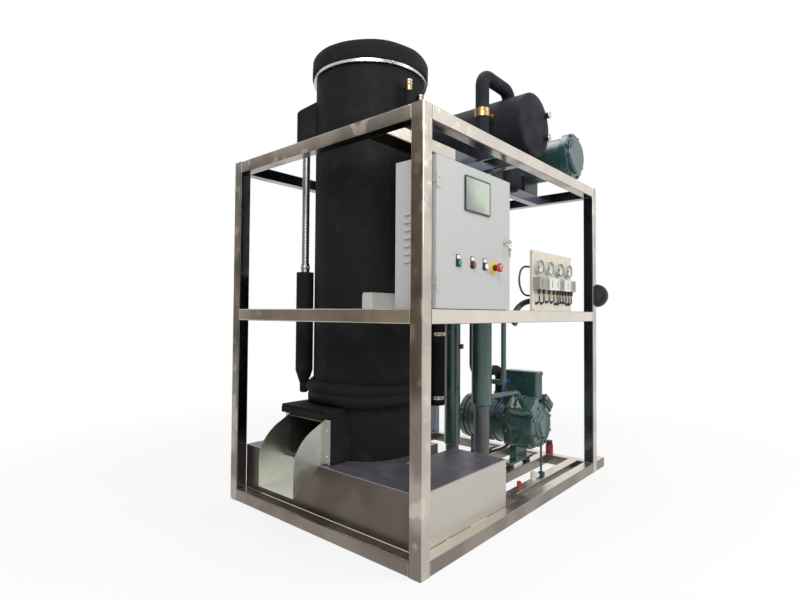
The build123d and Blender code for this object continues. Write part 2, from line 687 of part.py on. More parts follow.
def cabinet_door():
    """Tray-shaped door with its hinge leaves and the holes of its controls."""
    t, gap = CAB_SHEET, 0.5
    x0, x1, z0, z1 = CAB_X0 + gap, cab_x1(), MID_TOP + 2, MID_TOP + CAB_H
    door = block(x0, 0, z0, x1, DOOR_T, z1)
    door -= block(x0 + t, t, z0 + t, x1 - t, DOOR_T + 1, z1 - t)
    axis_x, axis_y, third, play = CAB_X0 - 1, -HINGE_OUT, HINGE_H / 3, 0.2
    for z in hinge_places():
        for low in (z, z + 2 * third + play):
            high = low + third - play
            leaf = block(axis_x, axis_y + HINGE_R - 1.5, low, CAB_X0 + 28, 0, high)
            knuckle = upright(axis_x, axis_y, low, high, HINGE_R)
            door += leaf + knuckle - upright(axis_x, axis_y, low - 1, high + 1, HINGE_PIN_R + RUN)
    holes = [(x, CONTROL_Z, BUTTON_R + GAP) for x in BUTTONS_X]
    holes += [(STOP_X, CONTROL_Z, BUTTON_R + GAP), (LOCK_X, LOCK_Z, LOCK_R + RUN)]
    for x, z, radius in holes:
        door -= along_y(x, z, -2, t + 1, radius)
    return door


def side_vents():
    """Vent hoods in a row up the cabinet's side, pressed out of its sheet."""
    y0, z0, x = 128.0, 1198.0, CAB_X0
    hoods = []
    for step in range(VENTS):
        z = z0 + step * VENT_PITCH
        wedge = Polyline((x + 1, z - 1), (x + 1, z + 12), (x, z + 12), (x - 7, z), (x - 7, z - 1), close=True)
        hoods.append(Pos(0, y0, 0) * extrude(Plane.XZ * make_face(wedge), 30, dir=(0, 1, 0)))
    return hoods


def touch_screen():
    """Operating screen with a thin dark bezel set on the door."""
    x0, z0, rim = 280.0, SCREEN_Z, 6.0
    screen = block(x0, -SCREEN_T, z0, x0 + SCREEN_W, 0, z0 + SCREEN_H)
    screen = fillet(screen.edges().filter_by(Axis.Y), 6.0)
    x1, z1 = x0 + SCREEN_W, z0 + SCREEN_H
    return screen - block(x0 + rim, -SCREEN_T - 1, z0 + rim, x1 - rim, 1.2 - SCREEN_T, z1 - rim)


def bezel(x):
    """Black holder, collar, barrel and contact block of one push button."""
    half, back = 14.0, CAB_SHEET
    holder = block(x - half - 1, -HOLDER_T, CONTROL_Z - half - 1, x + half + 1, 0, CONTROL_Z + 36)
    body = fillet(holder.edges().filter_by(Axis.Y), 3.0)
    body += along_y(x, CONTROL_Z, -10, 0, BEZEL_R) + along_y(x, CONTROL_Z, 0, back + 4, BUTTON_R)
    body += block(x - half, back + GAP, CONTROL_Z - half, x + half, back + 14, CONTROL_Z + half)
    body -= along_y(x, CONTROL_Z, -11, -2, BUTTON_R + RUN)
    return body - along_y(x, CONTROL_Z, -3, back + 12, STEM_R + RUN)


def stop_collar():
    """Black collar and contact block of the emergency stop."""
    half, back = 16.0, CAB_SHEET
    body = along_y(STOP_X, CONTROL_Z, -19, -3, 14.0) + along_y(STOP_X, CONTROL_Z, -3, back + 4, BUTTON_R)
    body += block(STOP_X - half, back + GAP, CONTROL_Z - half, STOP_X + half, back + 14, CONTROL_Z + half)
    return body - along_y(STOP_X, CONTROL_Z, -20, back + 12, STOP_STEM_R + RUN)


def legend_plate(x):
    """White insert in the upper part of a button's holder."""
    return block(x - 12, -HOLDER_T - 1, CONTROL_Z + 18, x + 12, -HOLDER_T, CONTROL_Z + 33)


def button_bezels():
    """Holders of the three buttons with their inserts, and the stop's collar and plate."""
    inserts = [legend_plate(x) for x in BUTTONS_X]
    return group([bezel(x) for x in BUTTONS_X] + inserts + [stop_collar(), stop_plate()])


def push_button(x):
    """Push button cap with a slightly rounded rim, and its stem."""
    cap = along_y(x, CONTROL_Z, -14, -2.5 - PRESS, BUTTON_R)
    cap = fillet(cap.edges().sort_by(Axis.Y)[:1], 1.5)
    return cap + along_y(x, CONTROL_Z, -3 - PRESS, 8, STEM_R)


def stop_plate():
    """Round yellow plate under the emergency stop."""
    plate = along_y(STOP_X, CONTROL_Z, -3, 0, STOP_PLATE_R)
    return plate - along_y(STOP_X, CONTROL_Z, -4, 1, BUTTON_R + GAP)


def stop_head():
    """Red mushroom head on its stem."""
    back = -20.0 - STOP_PRESS
    head = along_y(STOP_X, CONTROL_Z, back - 16, back, STOP_HEAD_R)
    head = fillet(head.edges().sort_by(Axis.Y)[:1], 7.0)
    return head + along_y(STOP_X, CONTROL_Z, back - 1, 6, STOP_STEM_R)


def door_lock():
    """Quarter-turn lock: face, barrel, cam and key, with the split ring and spare key."""
    lock = along_y(LOCK_X, LOCK_Z, -5, 0, LOCK_R + 5) + along_y(LOCK_X, LOCK_Z, -1, 27, LOCK_R)
    lock += block(LOCK_X - 7, cab_front() + CAB_SHEET + 0.5, LOCK_Z - CAM_L, LOCK_X + 7, 27, LOCK_Z)
    lock += along_y(LOCK_X, LOCK_Z, -7, -5, 8.0)
    lock += block(LOCK_X - 1.2, -20, LOCK_Z - 4, LOCK_X + 1.2, -6, LOCK_Z + 4)
    return group([lock + along_x(-24, LOCK_Z, LOCK_X - 1.2, LOCK_X + 1.2, 9.0) - key_hole(), spare_keys()])


def key_hole():
    return along_x(-24, LOCK_Z, LOCK_X - 2, LOCK_X + 2, 4.0)


def spare_keys():
    """Split ring through the hole of the key's bow with a second key hanging from it."""
    ring_r = 14.0
    ring_z = LOCK_Z - 2.6 - ring_r
    ring = Pos(LOCK_X, -24, ring_z) * Rot(90, 0, 0) * Torus(ring_r, 1.1)
    bow_z = ring_z - ring_r - 5
    key = along_x(-24, bow_z, LOCK_X - 1, LOCK_X + 1, 9.0)
    key += block(LOCK_X - 1, -28, bow_z - 34, LOCK_X + 1, -20, bow_z - 6)
    return ring + key


def plate_y():
    return cab_front() + CAB_D - CAB_SHEET - 14


def mounting_plate():
    """Back plate of the cabinet on four studs, with two top-hat rails."""
    y, x0, x1 = plate_y(), CAB_X0 + 32, cab_x1() - 32
    plate = block(x0, y, MID_TOP + 30, x1, y + 3, MID_TOP + CAB_H - 30)
    for x in (x0 + 20, x1 - 20):
        for z in (MID_TOP + 60, MID_TOP + CAB_H - 60):
            plate += along_y(x, z, y + 3, cab_front() + CAB_D - CAB_SHEET, 6.0)
    for z in (MID_TOP + 210, MID_TOP + 400):
        plate += block(x0 + 30, y - 8, z, x1 - 30, y, z + 35)
    return plate


def switchgear():
    """Contactors, relays and breakers side by side on the two rails of the back plate."""
    y, x0 = plate_y() - 8, CAB_X0 + 76
    pieces = [mounting_plate()]
    rows = ((MID_TOP + 192, (45, 45, 45, 54, 54), 78), (MID_TOP + 382, (18, 18, 54, 54, 36, 72), 66))
    for z, widths, deep in rows:
        x = x0
        for width in widths:
            body = block(x, y - deep, z, x + width, y, z + 71)
            pieces.append(body - block(x - 1, y - deep - 1, z - 1, x + width + 1, y - deep + 16, z + 14))
            x += width + 10
    return group(pieces)


def junction_box():
    """Small white terminal box on its bracket beside the cabinet."""
    box = block(TUBE, JUNCTION_Y - 29, MID_TOP, TUBE + 155, JUNCTION_Y + 29, MID_TOP + 62)
    box = fillet(box.edges().filter_by(Axis.Z), 4.0)
    lid = block(TUBE + 3, JUNCTION_Y - 26, MID_TOP + 62, TUBE + 152, JUNCTION_Y + 26, MID_TOP + 70)
    return box + lid


# Gauge panel

def gauge_panel():
    """Sheet panel with its edges folded back, standing on the middle rail."""
    x0, x1, z1 = PANEL_X0, PANEL_X0 + PANEL_W, MID_TOP + PANEL_H
    back, t = PANEL_Y + PANEL_FOLD, PANEL_T
    panel = block(x0, PANEL_Y, MID_TOP, x1, back, z1)
    panel -= block(x0 + t, PANEL_Y + t, MID_TOP + t, x1 - t, back + 1, z1 - t)
    for x in GAUGES_X:
        panel -= along_y(x, GAUGE_Z, PANEL_Y - 1, PANEL_Y + t + 1, 8.0 + GAP)
        panel += block(x - 14, PANEL_Y - 1.5, GAUGE_Z + 55, x + 6, PANEL_Y, GAUGE_Z + 69)
    return panel


def gauge_case(x):
    """Gauge case with its rim, dial floor, needle pin and rear connection."""
    back, front = PANEL_Y, PANEL_Y - GAUGE_DEEP
    case = along_y(x, GAUGE_Z, front, back, GAUGE_R)
    case -= along_y(x, GAUGE_Z, front - 1, back - 9, GAUGE_R - GAUGE_WALL)
    case += along_y(x, GAUGE_Z, front + 7, back - 9, GAUGE_PIN_R)
    return case + along_y(x, GAUGE_Z, back, back + 30, 8.0)


def gauge_glass(x):
    front = PANEL_Y - GAUGE_DEEP
    return along_y(x, GAUGE_Z, front + 1, front + 3, GAUGE_R - GAUGE_WALL)


def gauge_cases():
    """Gauge cases with their clear discs."""
    return group([gauge_case(x) for x in GAUGES_X] + [gauge_glass(x) for x in GAUGES_X])


def gauge_needle(x):
    """Pointer with a hub turning on the case's pin, resting at the low end."""
    y = PANEL_Y - GAUGE_DEEP + 8
    hub = along_y(0, 0, y, y + 2.5, 4.0)
    hand = Polyline((-2.0, -9.0), (2.0, -9.0), (0.6, NEEDLE_L), (-0.6, NEEDLE_L), close=True)
    blade = Pos(0, y + 0.6, 0) * extrude(Plane.XZ * make_face(hand), 1.0, dir=(0, 1, 0))
    needle = hub + blade - along_y(0, 0, y - 1, y + 4, GAUGE_PIN_R + RUN)
    return Pos(x, 0, GAUGE_Z) * Rot(0, -135, 0) * needle


CONTROL_BOXES = ((951.0, 116.0), (1069.0, 124.0), (1195.0, 65.0), (1262.0, 82.0), (1346.0, 72.0))


def control_box(x, width):
    low = CONTROL_BOX_TOP - CONTROL_BOX_H
    box = block(x, PANEL_Y - CONTROL_BOX_D, low, x + width, PANEL_Y, CONTROL_BOX_TOP)
    return fillet(box.edges().filter_by(Axis.Z).sort_by(Axis.Y)[:2], 5.0)


def pressure_controls():
    return group(control_box(x, width) for x, width in CONTROL_BOXES)


def control_fittings():
    """Connections and glands under the controls, their bent pipes and the panel's cables."""
    y, high = PANEL_Y - CONTROL_BOX_D / 2, CONTROL_BOX_TOP - CONTROL_BOX_H
    pieces = []
    for index, (x, width) in enumerate(CONTROL_BOXES):
        low = MID_TOP + 40 + 8 * (index % 2)
        for share in (0.25, 0.72):
            place = x + width * share
            gland = upright(place, y, high - 24, high, 8.0) + upright(place, y, high - 34, high - 24, 5.0)
            thin = pipe([(place, y, high - 30), (place, y, low), (place, PANEL_Y, low)], 4.0, 14.0)
            pieces.append(gland + thin + along_y(place, low, PANEL_Y - 8, PANEL_Y, 8.0))
    return group(pieces + panel_cables())


def cable(points, radius):
    """A flexible cable led through points in one smooth line."""
    path = Spline(*points)
    return sweep(Plane(path @ 0, z_dir=path % 0) * Circle(radius), path=path)


def panel_cables():
    """Cable loop beside the panel and the thick hose behind it down to the middle rail."""
    x, y = PANEL_X0, PANEL_Y + PANEL_T - 2
    loop = [(x + 24, y, 1232), (x + 18, 54, 1241), (x - 28, 62, 1230), (x - 62, 60, 1150),
            (x - 28, 60, 1104), (x + 22, 56, 1090), (x + 36, y, 1092)]
    hose = [(x + 90, y, 1066), (x + 78, 70, 1062), (x + 10, 84, 1044), (x - 60, 86, 1000),
            (x - 90, 80, 960), (x - 96, TUBE, 944)]
    return [cable(points, radius) - cable_seats() for points, radius in ((loop, 5.0), (hose, 15.0))]


def cable_seats():
    """What the panel's cables end against: the back of the sheet and the back of the rail."""
    sheet = block(PANEL_X0, 0, MID_TOP, PANEL_X0 + PANEL_W, PANEL_Y + PANEL_T + GAP, MID_TOP + PANEL_H)
    return sheet + block(TUBE, 0, MID_TOP - TUBE, FRAME_L, TUBE + GAP, MID_TOP)


# Pressure vessels

def domed(radius, length, depth):
    """A vessel standing on Z with a dished end at top and bottom."""
    knee, flat = radius * 0.18, radius * 0.62
    outline = [(0, 0), (flat, depth * 0.16), (radius - knee, depth * 0.52), (radius, depth)]
    outline += [(radius, length - depth), (radius - knee, length - depth * 0.52)]
    outline += [(flat, length - depth * 0.16), (0, length)]
    spline_low = Spline(outline[0], outline[1], outline[2], outline[3], tangents=((1, 0), (0, 1)))
    spline_high = Spline(outline[4], outline[5], outline[6], outline[7], tangents=((0, 1), (-1, 0)))
    wall, core = Line(outline[3], outline[4]), Line(outline[7], outline[0])
    return revolve(Plane.XZ * make_face([spline_low, wall, spline_high, core]), Axis.Z)


def oil_separator():
    """Tall green vessel under the riser."""
    body = domed(SEPARATOR_R, SEPARATOR_Z1 - SEPARATOR_Z0, 24.0)
    body = Pos(RISER_X, RISER_Y, SEPARATOR_Z0) * body
    seam = SEPARATOR_Z0 + 30
    return body + upright(RISER_X, RISER_Y, seam, seam + 6, SEPARATOR_R + 1.5)


def vessel_feet():
    """Pedestal of the oil separator and the receiver's foot plate with its skirt."""
    leg = upright(RISER_X, RISER_Y, TUBE + 10, SEPARATOR_Z0 + 12, LEG_R)
    leg += block(RISER_X - 60, RISER_Y - 60, TUBE, RISER_X + 60, RISER_Y + 60, TUBE + 10)
    leg -= Pos(RISER_X, RISER_Y, SEPARATOR_Z0 - GAP) * domed(SEPARATOR_R + GAP, 200.0, 24.0)
    skirt = upright(RECEIVER_X, RECEIVER_Y, TUBE + 10, RECEIVER_Z0 + 16, 38.0)
    skirt -= upright(RECEIVER_X, RECEIVER_Y, TUBE + 10, RECEIVER_Z0 + 17, 32.0)
    skirt += block(RECEIVER_X - 50, RECEIVER_Y - 60, TUBE, RECEIVER_X + 50, RECEIVER_Y + 84, TUBE + 10)
    skirt -= Pos(RECEIVER_X, RECEIVER_Y, RECEIVER_Z0 - GAP) * domed(RECEIVER_R + GAP, 200.0, 20.0)
    return group([leg, skirt])


def suction_riser():
    """Foam-covered riser over into the accumulator's top, with a branch to the oil pot."""
    top, branch_y, branch_z = ACC_Z + RISER_OVER - RISER_R, RISER_Y - 27, FRAME_H + 45
    path = [(RISER_X, RISER_Y, SEPARATOR_Z1 - 8), (RISER_X, RISER_Y, top), (ACC_X, RISER_Y, top),
            (ACC_X, RISER_Y, ACC_Z)]
    body = pipe(path, RISER_R, 62.0) + along_x(branch_y, branch_z, RISER_X, POT_X, 26.0)
    body -= upright(POT_X, POT_Y, branch_z - 40, branch_z + 40, POT_R + GAP)
    tall = SEPARATOR_Z1 - SEPARATOR_Z0 + GAP
    body -= Pos(RISER_X, RISER_Y, SEPARATOR_Z0) * domed(SEPARATOR_R + GAP, tall, 24.0)
    return body - along_y(ACC_X, ACC_Z, RISER_Y - 80, RISER_Y + 80, ACC_R + GAP)


def riser_valve():
    """Brass collar round the riser with a capped stop valve at its side."""
    z, r = ACC_Z - 6, RISER_R
    collar = upright(RISER_X, RISER_Y, z, z + 46, r + 5) - upright(RISER_X, RISER_Y, z - 1, z + 47, r + GAP)
    collar += along_x(RISER_Y - 10, z + 30, RISER_X + r + 2, RISER_X + r + 34, 12.0)
    return collar + along_x(RISER_Y - 10, z + 30, RISER_X + r + 34, RISER_X + r + 48, 17.0)


def valve_block():
    """Solenoid valve block on the beam across the frame, with its copper union."""
    x, y0, y1, z = SPINE_X + TUBE / 2, 130.0, 205.0, FRAME_H
    body = block(x - 24, y0, z, x + 24, y1, z + 36)
    body += along_y(x, z + 20, 80.0, y0, 11.0) + along_y(x, z + 20, 96.0, 118.0, 16.0)
    return body + upright(x, (y0 + y1) / 2, z + 36, z + 66, 14.0)


def accumulator():
    """Large foam-covered vessel across the top of the frame, with two stubs and its oil pot."""
    body = Pos(ACC_X, ACC_Y0, ACC_Z) * Rot(-90, 0, 0) * domed(ACC_R, ACC_L, 46.0)
    body += Pos(POT_X, POT_Y, POT_LOW) * domed(POT_R, ACC_Z - POT_LOW, 26.0)
    for z in (ACC_Z + 62, ACC_Z - 70):
        body += along_y(ACC_X + 62, z, ACC_Y0 - 26, ACC_Y0 + 60, 17.0)
    return body


def saddle(x, y, z, radius):
    """Cradle plate between a top beam and a round vessel."""
    half, thick = radius * 0.72, TUBE / 2
    plate = block(x - half, y - thick, FRAME_H, x + half, y + thick, z - radius * 0.45)
    return plate - along_y(x, z, y - thick - 1, y + thick + 1, radius + GAP)


def vessel_saddles():
    places = [(ACC_X, ACC_Z, ACC_R), (COND_X, COND_Z, COND_R)]
    return group(saddle(x, y, z, r) for x, z, r in places for y in BEAMS_Y)


def condenser():
    """Green shell-and-tube condenser with a flange at each end, and its covers."""
    body = along_y(COND_X, COND_Z, COND_Y0, COND_Y0 + COND_L, COND_R)
    for y in (COND_Y0, COND_Y0 + COND_L - 22):
        body += along_y(COND_X, COND_Z, y, y + 22, COND_R + 16)
    return group([body, cover(-1), cover(1)])


def cover(sign):
    """Cast end cover: rim, raised belly and a ring of bolt heads."""
    start, low = (COND_Y0 if sign < 0 else COND_Y0 + COND_L), (Align.CENTER, Align.CENTER, Align.MIN)
    belly = Pos(0, 0, 20) * Cylinder(COND_R - 18, 26, align=low)
    body = Cylinder(COND_R + 16, 20, align=low) + fillet(belly.edges().sort_by(Axis.Z)[-1:], 16.0)
    for step in range(8):
        angle = math.radians(22.5 + 45 * step)
        place = Pos((COND_R + 4) * math.cos(angle), (COND_R + 4) * math.sin(angle), 20)
        body += place * extrude(RegularPolygon(10.0, 6), 9)
    if sign > 0:
        for z in (-45, 45):
            body += Pos(0, z, 46) * Cylinder(WATER_STUB_R, WATER_STUB_L, align=low)
    return Pos(COND_X, start, COND_Z) * Rot(-90 * sign, 0, 0) * body


def receiver():
    """Upright green liquid receiver with two sight ports."""
    low = (Align.CENTER, Align.CENTER, Align.MIN)
    body = Pos(RECEIVER_X, RECEIVER_Y, RECEIVER_Z0) * domed(RECEIVER_R, 1120.0 - RECEIVER_Z0, 20.0)
    for z in (430.0, 800.0):
        port = Cylinder(15.0, RECEIVER_R + 18, align=low)
        body += Pos(RECEIVER_X, RECEIVER_Y, z) * Rot(0, 0, -70) * Rot(0, 90, 0) * port
    return body


# Compressor

def bank(side):
    """One cylinder bank with its ribbed, bolted head, tilted to its side."""
    half, y0, y1 = BANK_HALF, 175.0, 345.0
    block_part = block(-half, y0 + 5, 60, half, y1 - 5, BANK_OUT)
    head = block(-half - 6, y0, BANK_OUT, half + 6, y1, BANK_OUT + HEAD_T)
    head = fillet(head.edges().filter_by(Axis.Z), 16.0)
    head = fillet(head.edges().group_by(Axis.Z)[-1], 8.0)
    for x in (-half + 8, half - 8):
        for y in (y0 + 20, (y0 + y1) / 2, y1 - 20):
            bolt = Cylinder(12.0, 14) + Pos(0, 0, 7) * extrude(RegularPolygon(8.0, 6), 7)
            head += Pos(x, y, BANK_OUT + HEAD_T - 8) * bolt
    for y in (y0 + 45, y1 - 45):
        head += block(-half + 22, y - 4, BANK_OUT + HEAD_T - 1, half - 22, y + 4, BANK_OUT + HEAD_T + 6)
    return Pos(COMP_X, 0, COMP_Z) * Rot(0, side * BANK_ANGLE, 0) * (block_part + head)


def bolt_ring(y, sign, radius, count):
    """Hex heads round the compressor's axis on an end face."""
    heads = []
    for step in range(count):
        angle = math.radians(360 / count * (step + 0.5))
        x, z = COMP_X + radius * math.cos(angle), COMP_Z + radius * math.sin(angle)
        heads.append(Pos(x, y, z) * Rot(-90 * sign, 0, 0) * extrude(RegularPolygon(9.0, 6), 8))
    return heads


def case_core():
    """Crankcase under the cylinder banks with its rounded lower corners."""
    core = along_y(COMP_X, COMP_Z, CASE_Y, MOTOR_Y, COVER_R - 8)
    sump = block(COMP_X - CASE_HALF, CASE_Y, COMP_Z - MOTOR_CASE_R, COMP_X + CASE_HALF, MOTOR_Y, COMP_Z)
    return core + fillet(sump.edges().filter_by(Axis.Y).group_by(Axis.Z)[0], 30.0)


def side_cover():
    """Bolted cover on the crankcase's side with the round oil sight glass."""
    x0, y0, y1, z0, z1 = COMP_X - CASE_HALF - 9, 232.0, 352.0, COMP_Z - 98, COMP_Z - 8
    plate = block(x0, y0, z0, COMP_X - CASE_HALF + 1, y1, z1)
    plate = fillet(plate.edges().filter_by(Axis.X), 16.0)
    for y in (y0 + 13, (y0 + y1) / 2, y1 - 13):
        for z in (z0 + 12, z1 - 12):
            plate += Pos(x0, y, z) * Rot(0, -90, 0) * extrude(RegularPolygon(7.0, 6), 6)
    glass = along_x((y0 + y1) / 2, (z0 + z1) / 2, x0 - 8, x0, 22.0)
    return plate + glass - along_x((y0 + y1) / 2, (z0 + z1) / 2, x0 - 9, x0 - 4, 15.0)


def compressor_body():
    """Crankcase, round front cover, ribbed motor casing and feet as one casting."""
    radius, face = COVER_R, CASE_Y - COVER_Y
    front = [(0, 0), (radius, 0), (radius, face - 23), (radius - 8, face - 15), (radius - 34, face - 12),
             (radius - 42, face), (66, face), (60, face + 10), (0, face + 10)]
    body = case_core() + turned(front, (COMP_X, CASE_Y, COMP_Z), (90, 0, 0))
    body += bolt_ring(CASE_Y - face + 15, -1, radius - 16, 8) + [side_cover()]
    body += along_y(COMP_X, COMP_Z, MOTOR_Y, MOTOR_END, MOTOR_CASE_R)
    for y in (MOTOR_Y + 70, MOTOR_Y + 130, MOTOR_Y + 190, MOTOR_Y + 250):
        body += along_y(COMP_X, COMP_Z, y - 4, y + 4, MOTOR_CASE_R + 6)
    rim = MOTOR_CASE_R + 8
    end = [(0, 0), (rim, 0), (rim, 32), (rim - 22, 34), (rim - 40, 50), (rim - 96, 58), (0, 58)]
    body += turned(end, (COMP_X, MOTOR_END - 20, COMP_Z), (-90, 0, 0))
    body += bolt_ring(MOTOR_END + 10, 1, MOTOR_CASE_R - 4, 8)
    low = COMP_Z - MOTOR_CASE_R
    for y in BASE_MEMBERS_Y[1:]:
        body += block(COMP_X - MOUNT_X - 40, y - 28, FOOT_Z, COMP_X + MOUNT_X + 40, y + 28, FOOT_Z + FOOT_T)
        body += block(COMP_X - 70, y - 22, FOOT_Z + FOOT_T - 1, COMP_X + 70, y + 22, low + 30)
    return body + upright(COMP_X, SUCTION_Y, COMP_Z + 100, SUCTION_JOINT, 38.0)


SUCTION_JOINT = 500.0


def cylinder_heads():
    clear = along_y(COMP_X, COMP_Z, COVER_Y - 30, MOTOR_Y + 1, COVER_R + GAP)
    middle = block(COMP_X - GAP / 2, 0, COMP_Z, COMP_X + GAP / 2, 600, COMP_Z + 400)
    return group([bank(side) - clear - middle for side in (-1, 1)])


def terminal_box():
    """Electrical box over the heads on its neck, with rounded corners and a domed lid."""
    x0, x1, y0, y1 = COMP_X - 40, COMP_X + 40, 195.0, 420.0
    box = block(x0, y0, BOX_Z0, x1, y1, BOX_Z1 - 24)
    box = fillet(box.edges().filter_by(Axis.Z), 16.0)
    lid = block(x0 - 4, y0 - 4, BOX_Z1 - 24, x1 + 4, y1 + 4, BOX_Z1)
    lid = fillet(lid.edges().filter_by(Axis.Z), 18.0)
    lid = fillet(lid.edges().group_by(Axis.Z)[-1], 9.0)
    neck = block(x0 + 5, 384.0, COMP_Z + 100, x1 - 5, y1, BOX_Z0 + 1)
    gland = along_x(360.0, BOX_Z0 + 100, x0 - 16, x0, 11.0)
    return box + lid + gland + (neck - along_y(COMP_X, COMP_Z, 300, 500, MOTOR_CASE_R + GAP))


def compressor_mounts():
    """Rubber feet between the casting and the base members."""
    places = [(COMP_X + side * MOUNT_X, y) for side in (-1, 1) for y in BASE_MEMBERS_Y[1:]]
    high = FOOT_Z - TUBE
    outline = [(0, 0), (MOUNT_R, 0), (MOUNT_R, 8), (MOUNT_R - 5, 15), (MOUNT_R, 22)]
    outline += [(MOUNT_R, high), (0, high)]
    return group(turned(outline, (x, y, TUBE)) for x, y in places)


def compressor_cables():
    """Blue cable from the box down to the motor and the black loop down to the base."""
    side, gland_z, low = COMP_X - 178, BOX_Z0 + 100, TUBE + 9 + GAP
    blue = [(COMP_X - 56 - GAP, 360, gland_z), (COMP_X - 110, 358, gland_z + 4), (side + 4, 350, 556),
            (side - 4, 350, 490), (side + 2, 392, 420), (side + 20, 440, 374), (COMP_X - 130, 470, 350)]
    black = [(COMP_X - 119, 416, 384), (side + 14, 398, 386), (side + 2, 350, 368), (side - 2, 303, 318),
             (side, 300, 250), (side + 14, 345, 198), (side + 8, 429, 158), (side - 22, 520, 112),
             (side - 66, 585, low + 10), (side - 122, 630, low + 1)]
    casing = along_y(COMP_X, COMP_Z, 300, 600, MOTOR_CASE_R + GAP)
    gland = along_x(360.0, gland_z, COMP_X - 56 - GAP, COMP_X, 16.0)
    return group([cable(blue, 6.0) - casing - gland, cable(black, 9.0) - casing])


def suction_line():
    """Foam-covered line from the accumulator's underside to the compressor."""
    x, y, low = SUCTION_X, SUCTION_Y, 640.0
    path = [(x, y, ACC_Z - 60), (x, y, low), (COMP_X, y, low), (COMP_X, y, SUCTION_JOINT)]
    body = pipe(path, SUCTION_R, 60.0)
    return body - along_y(ACC_X, ACC_Z, y - 80, y + 80, ACC_R + GAP)


def discharge_lines():
    """Green lines from compressor to separator to condenser, and the valve on the beam."""
    x, y, turn_z, entry_y, entry_z = 1003.0, 221.0, POT_LOW - 10, 930.0, FRAME_H + 35
    route = [(RISER_X + 20, RISER_Y, 617), (x, RISER_Y - 20, 617), (x, y, 617), (x, y, turn_z),
             (x, entry_y, turn_z), (x, entry_y, entry_z), (COND_X, entry_y, entry_z),
             (COND_X, entry_y, COND_Z)]
    up = pipe(route, LINE_R, 22.0)
    up -= upright(RISER_X, RISER_Y, 500, 700, SEPARATOR_R + GAP)
    up -= along_y(COND_X, COND_Z, entry_y - 60, entry_y + 60, COND_R + GAP)
    tilt, out = math.radians(BANK_ANGLE), BANK_OUT + HEAD_T
    points = [(COMP_X - r * math.sin(tilt), 260.0, COMP_Z + r * math.cos(tilt)) for r in (out - 24, out + 82)]
    over = pipe(points + [(RISER_X + 30, RISER_Y - 12, points[1][2])], LINE_R, 40.0)
    over -= cylinder_heads()
    return group([up, over - upright(RISER_X, RISER_Y, 500, 620, SEPARATOR_R + GAP), valve_block()])


def base_fittings():
    """Small pieces on the base: gas cartridge, oil tube, elbow and drain cap."""
    y, z, x = BASE_MEMBERS_Y[0], TUBE, FRAME_L - TUBE / 2
    cartridge = upright(x, 305.0, z, z + 62, 24.0) + upright(x, 305.0, z + 62, z + 88, 20.0)
    path = [(1280, y, z), (1280, y, 265), (1345, y, 265), (1345, COVER_Y - GAP, 265)]
    tube = pipe(path, 6.0, 18.0) + block(1266, y - 14, z, 1298, y + 14, z + 26)
    elbow = along_x(y + 8, z + 14, 1190, 1250, 14.0) + upright(1196, y + 8, z, z + 44, 14.0)
    return group([cartridge, tube, elbow, upright(1030, y + 8, z, z + 30, 12.0)])


def capped_connection():
    """Blanked water connection on the outer face of the end post."""
    y, z, face = 15.0, MID_TOP + 105, FRAME_L
    body = along_x(y, z, face, face + 16, 44.0) + along_x(y, z, face + 16, face + 50, 73.5)
    return body + along_x(y, z, face + 50, face + 58, 30.0)


def build():
    """Every node of the part by name."""
    nodes = {
        "corner_posts": corner_posts(),
        "base_frame": base_frame(),
        "middle_rails": middle_rails(),
        "top_frame": top_frame(),
        "vessel_saddles": vessel_saddles(),
        "tower_stand": tower_stand(),
        "tower_shell": tower_shell(),
        "tower_foam": tower_foam(),
        "tower_cap": tower_cap(),
        "clamp_band": clamp_band(),
        "tube_bundle": tube_bundle(),
        "cutter_chamber": cutter_chamber(),
        "outlet_foam": outlet_foam(),
        "cutter_disc": cutter_disc(),
        "cutter_motor": cutter_motor(),
        "ice_chute": ice_chute(),
        "chute_screws": chute_screws(),
        "water_tank": water_tank(),
        "tank_lid": tank_lid(),
        "float_valve": float_valve(),
        "float_arm": float_arm(),
        "water_pump": water_pump(),
        "pump_pipes": pump_pipes(),
        "level_column": level_column(),
        "column_foam": column_foam(),
        "brass_valves": brass_valves(),
        "cabinet_body": cabinet_body(),
        "cabinet_door": cabinet_door(),
        "touch_screen": touch_screen(),
        "button_bezels": button_bezels(),
        "start_button": push_button(BUTTONS_X[0]),
        "stop_button": push_button(BUTTONS_X[1]),
        "reset_button": push_button(BUTTONS_X[2]),
        "stop_head": stop_head(),
        "door_lock": door_lock(),
        "switchgear": switchgear(),
        "junction_box": junction_box(),
        "gauge_panel": gauge_panel(),
        "gauge_cases": gauge_cases(),
        "pressure_controls": pressure_controls(),
        "control_fittings": control_fittings(),
        "oil_separator": oil_separator(),
        "vessel_feet": vessel_feet(),
        "suction_riser": suction_riser(),
        "accumulator": accumulator(),
        "condenser": condenser(),
        "receiver": receiver(),
        "compressor_body": compressor_body(),
        "cylinder_heads": cylinder_heads(),
        "terminal_box": terminal_box(),
        "compressor_mounts": compressor_mounts(),
        "compressor_cables": compressor_cables(),
        "suction_line": suction_line(),
        "discharge_lines": discharge_lines(),
        "base_fittings": base_fittings(),
        "capped_connection": capped_connection(),
    }
    for index, x in enumerate(GAUGES_X):
        nodes["gauge_needle_" + str(index + 1)] = gauge_needle(x)
    return nodes


if __name__ == "__main__":
    os.makedirs("parts", exist_ok=True)
    to_origin = Location((-FRAME_L / 2, -FRAME_W / 2, 0))
    for name, solid in build().items():
        export_step(solid.moved(to_origin), "parts/" + name + ".step")
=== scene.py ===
import functools
import math

import bmesh
import bpy
from bpy.props import FloatProperty, FloatVectorProperty, PointerProperty
from bpy.types import Operator, Panel, PropertyGroup
from mathutils import Matrix, Vector, noise


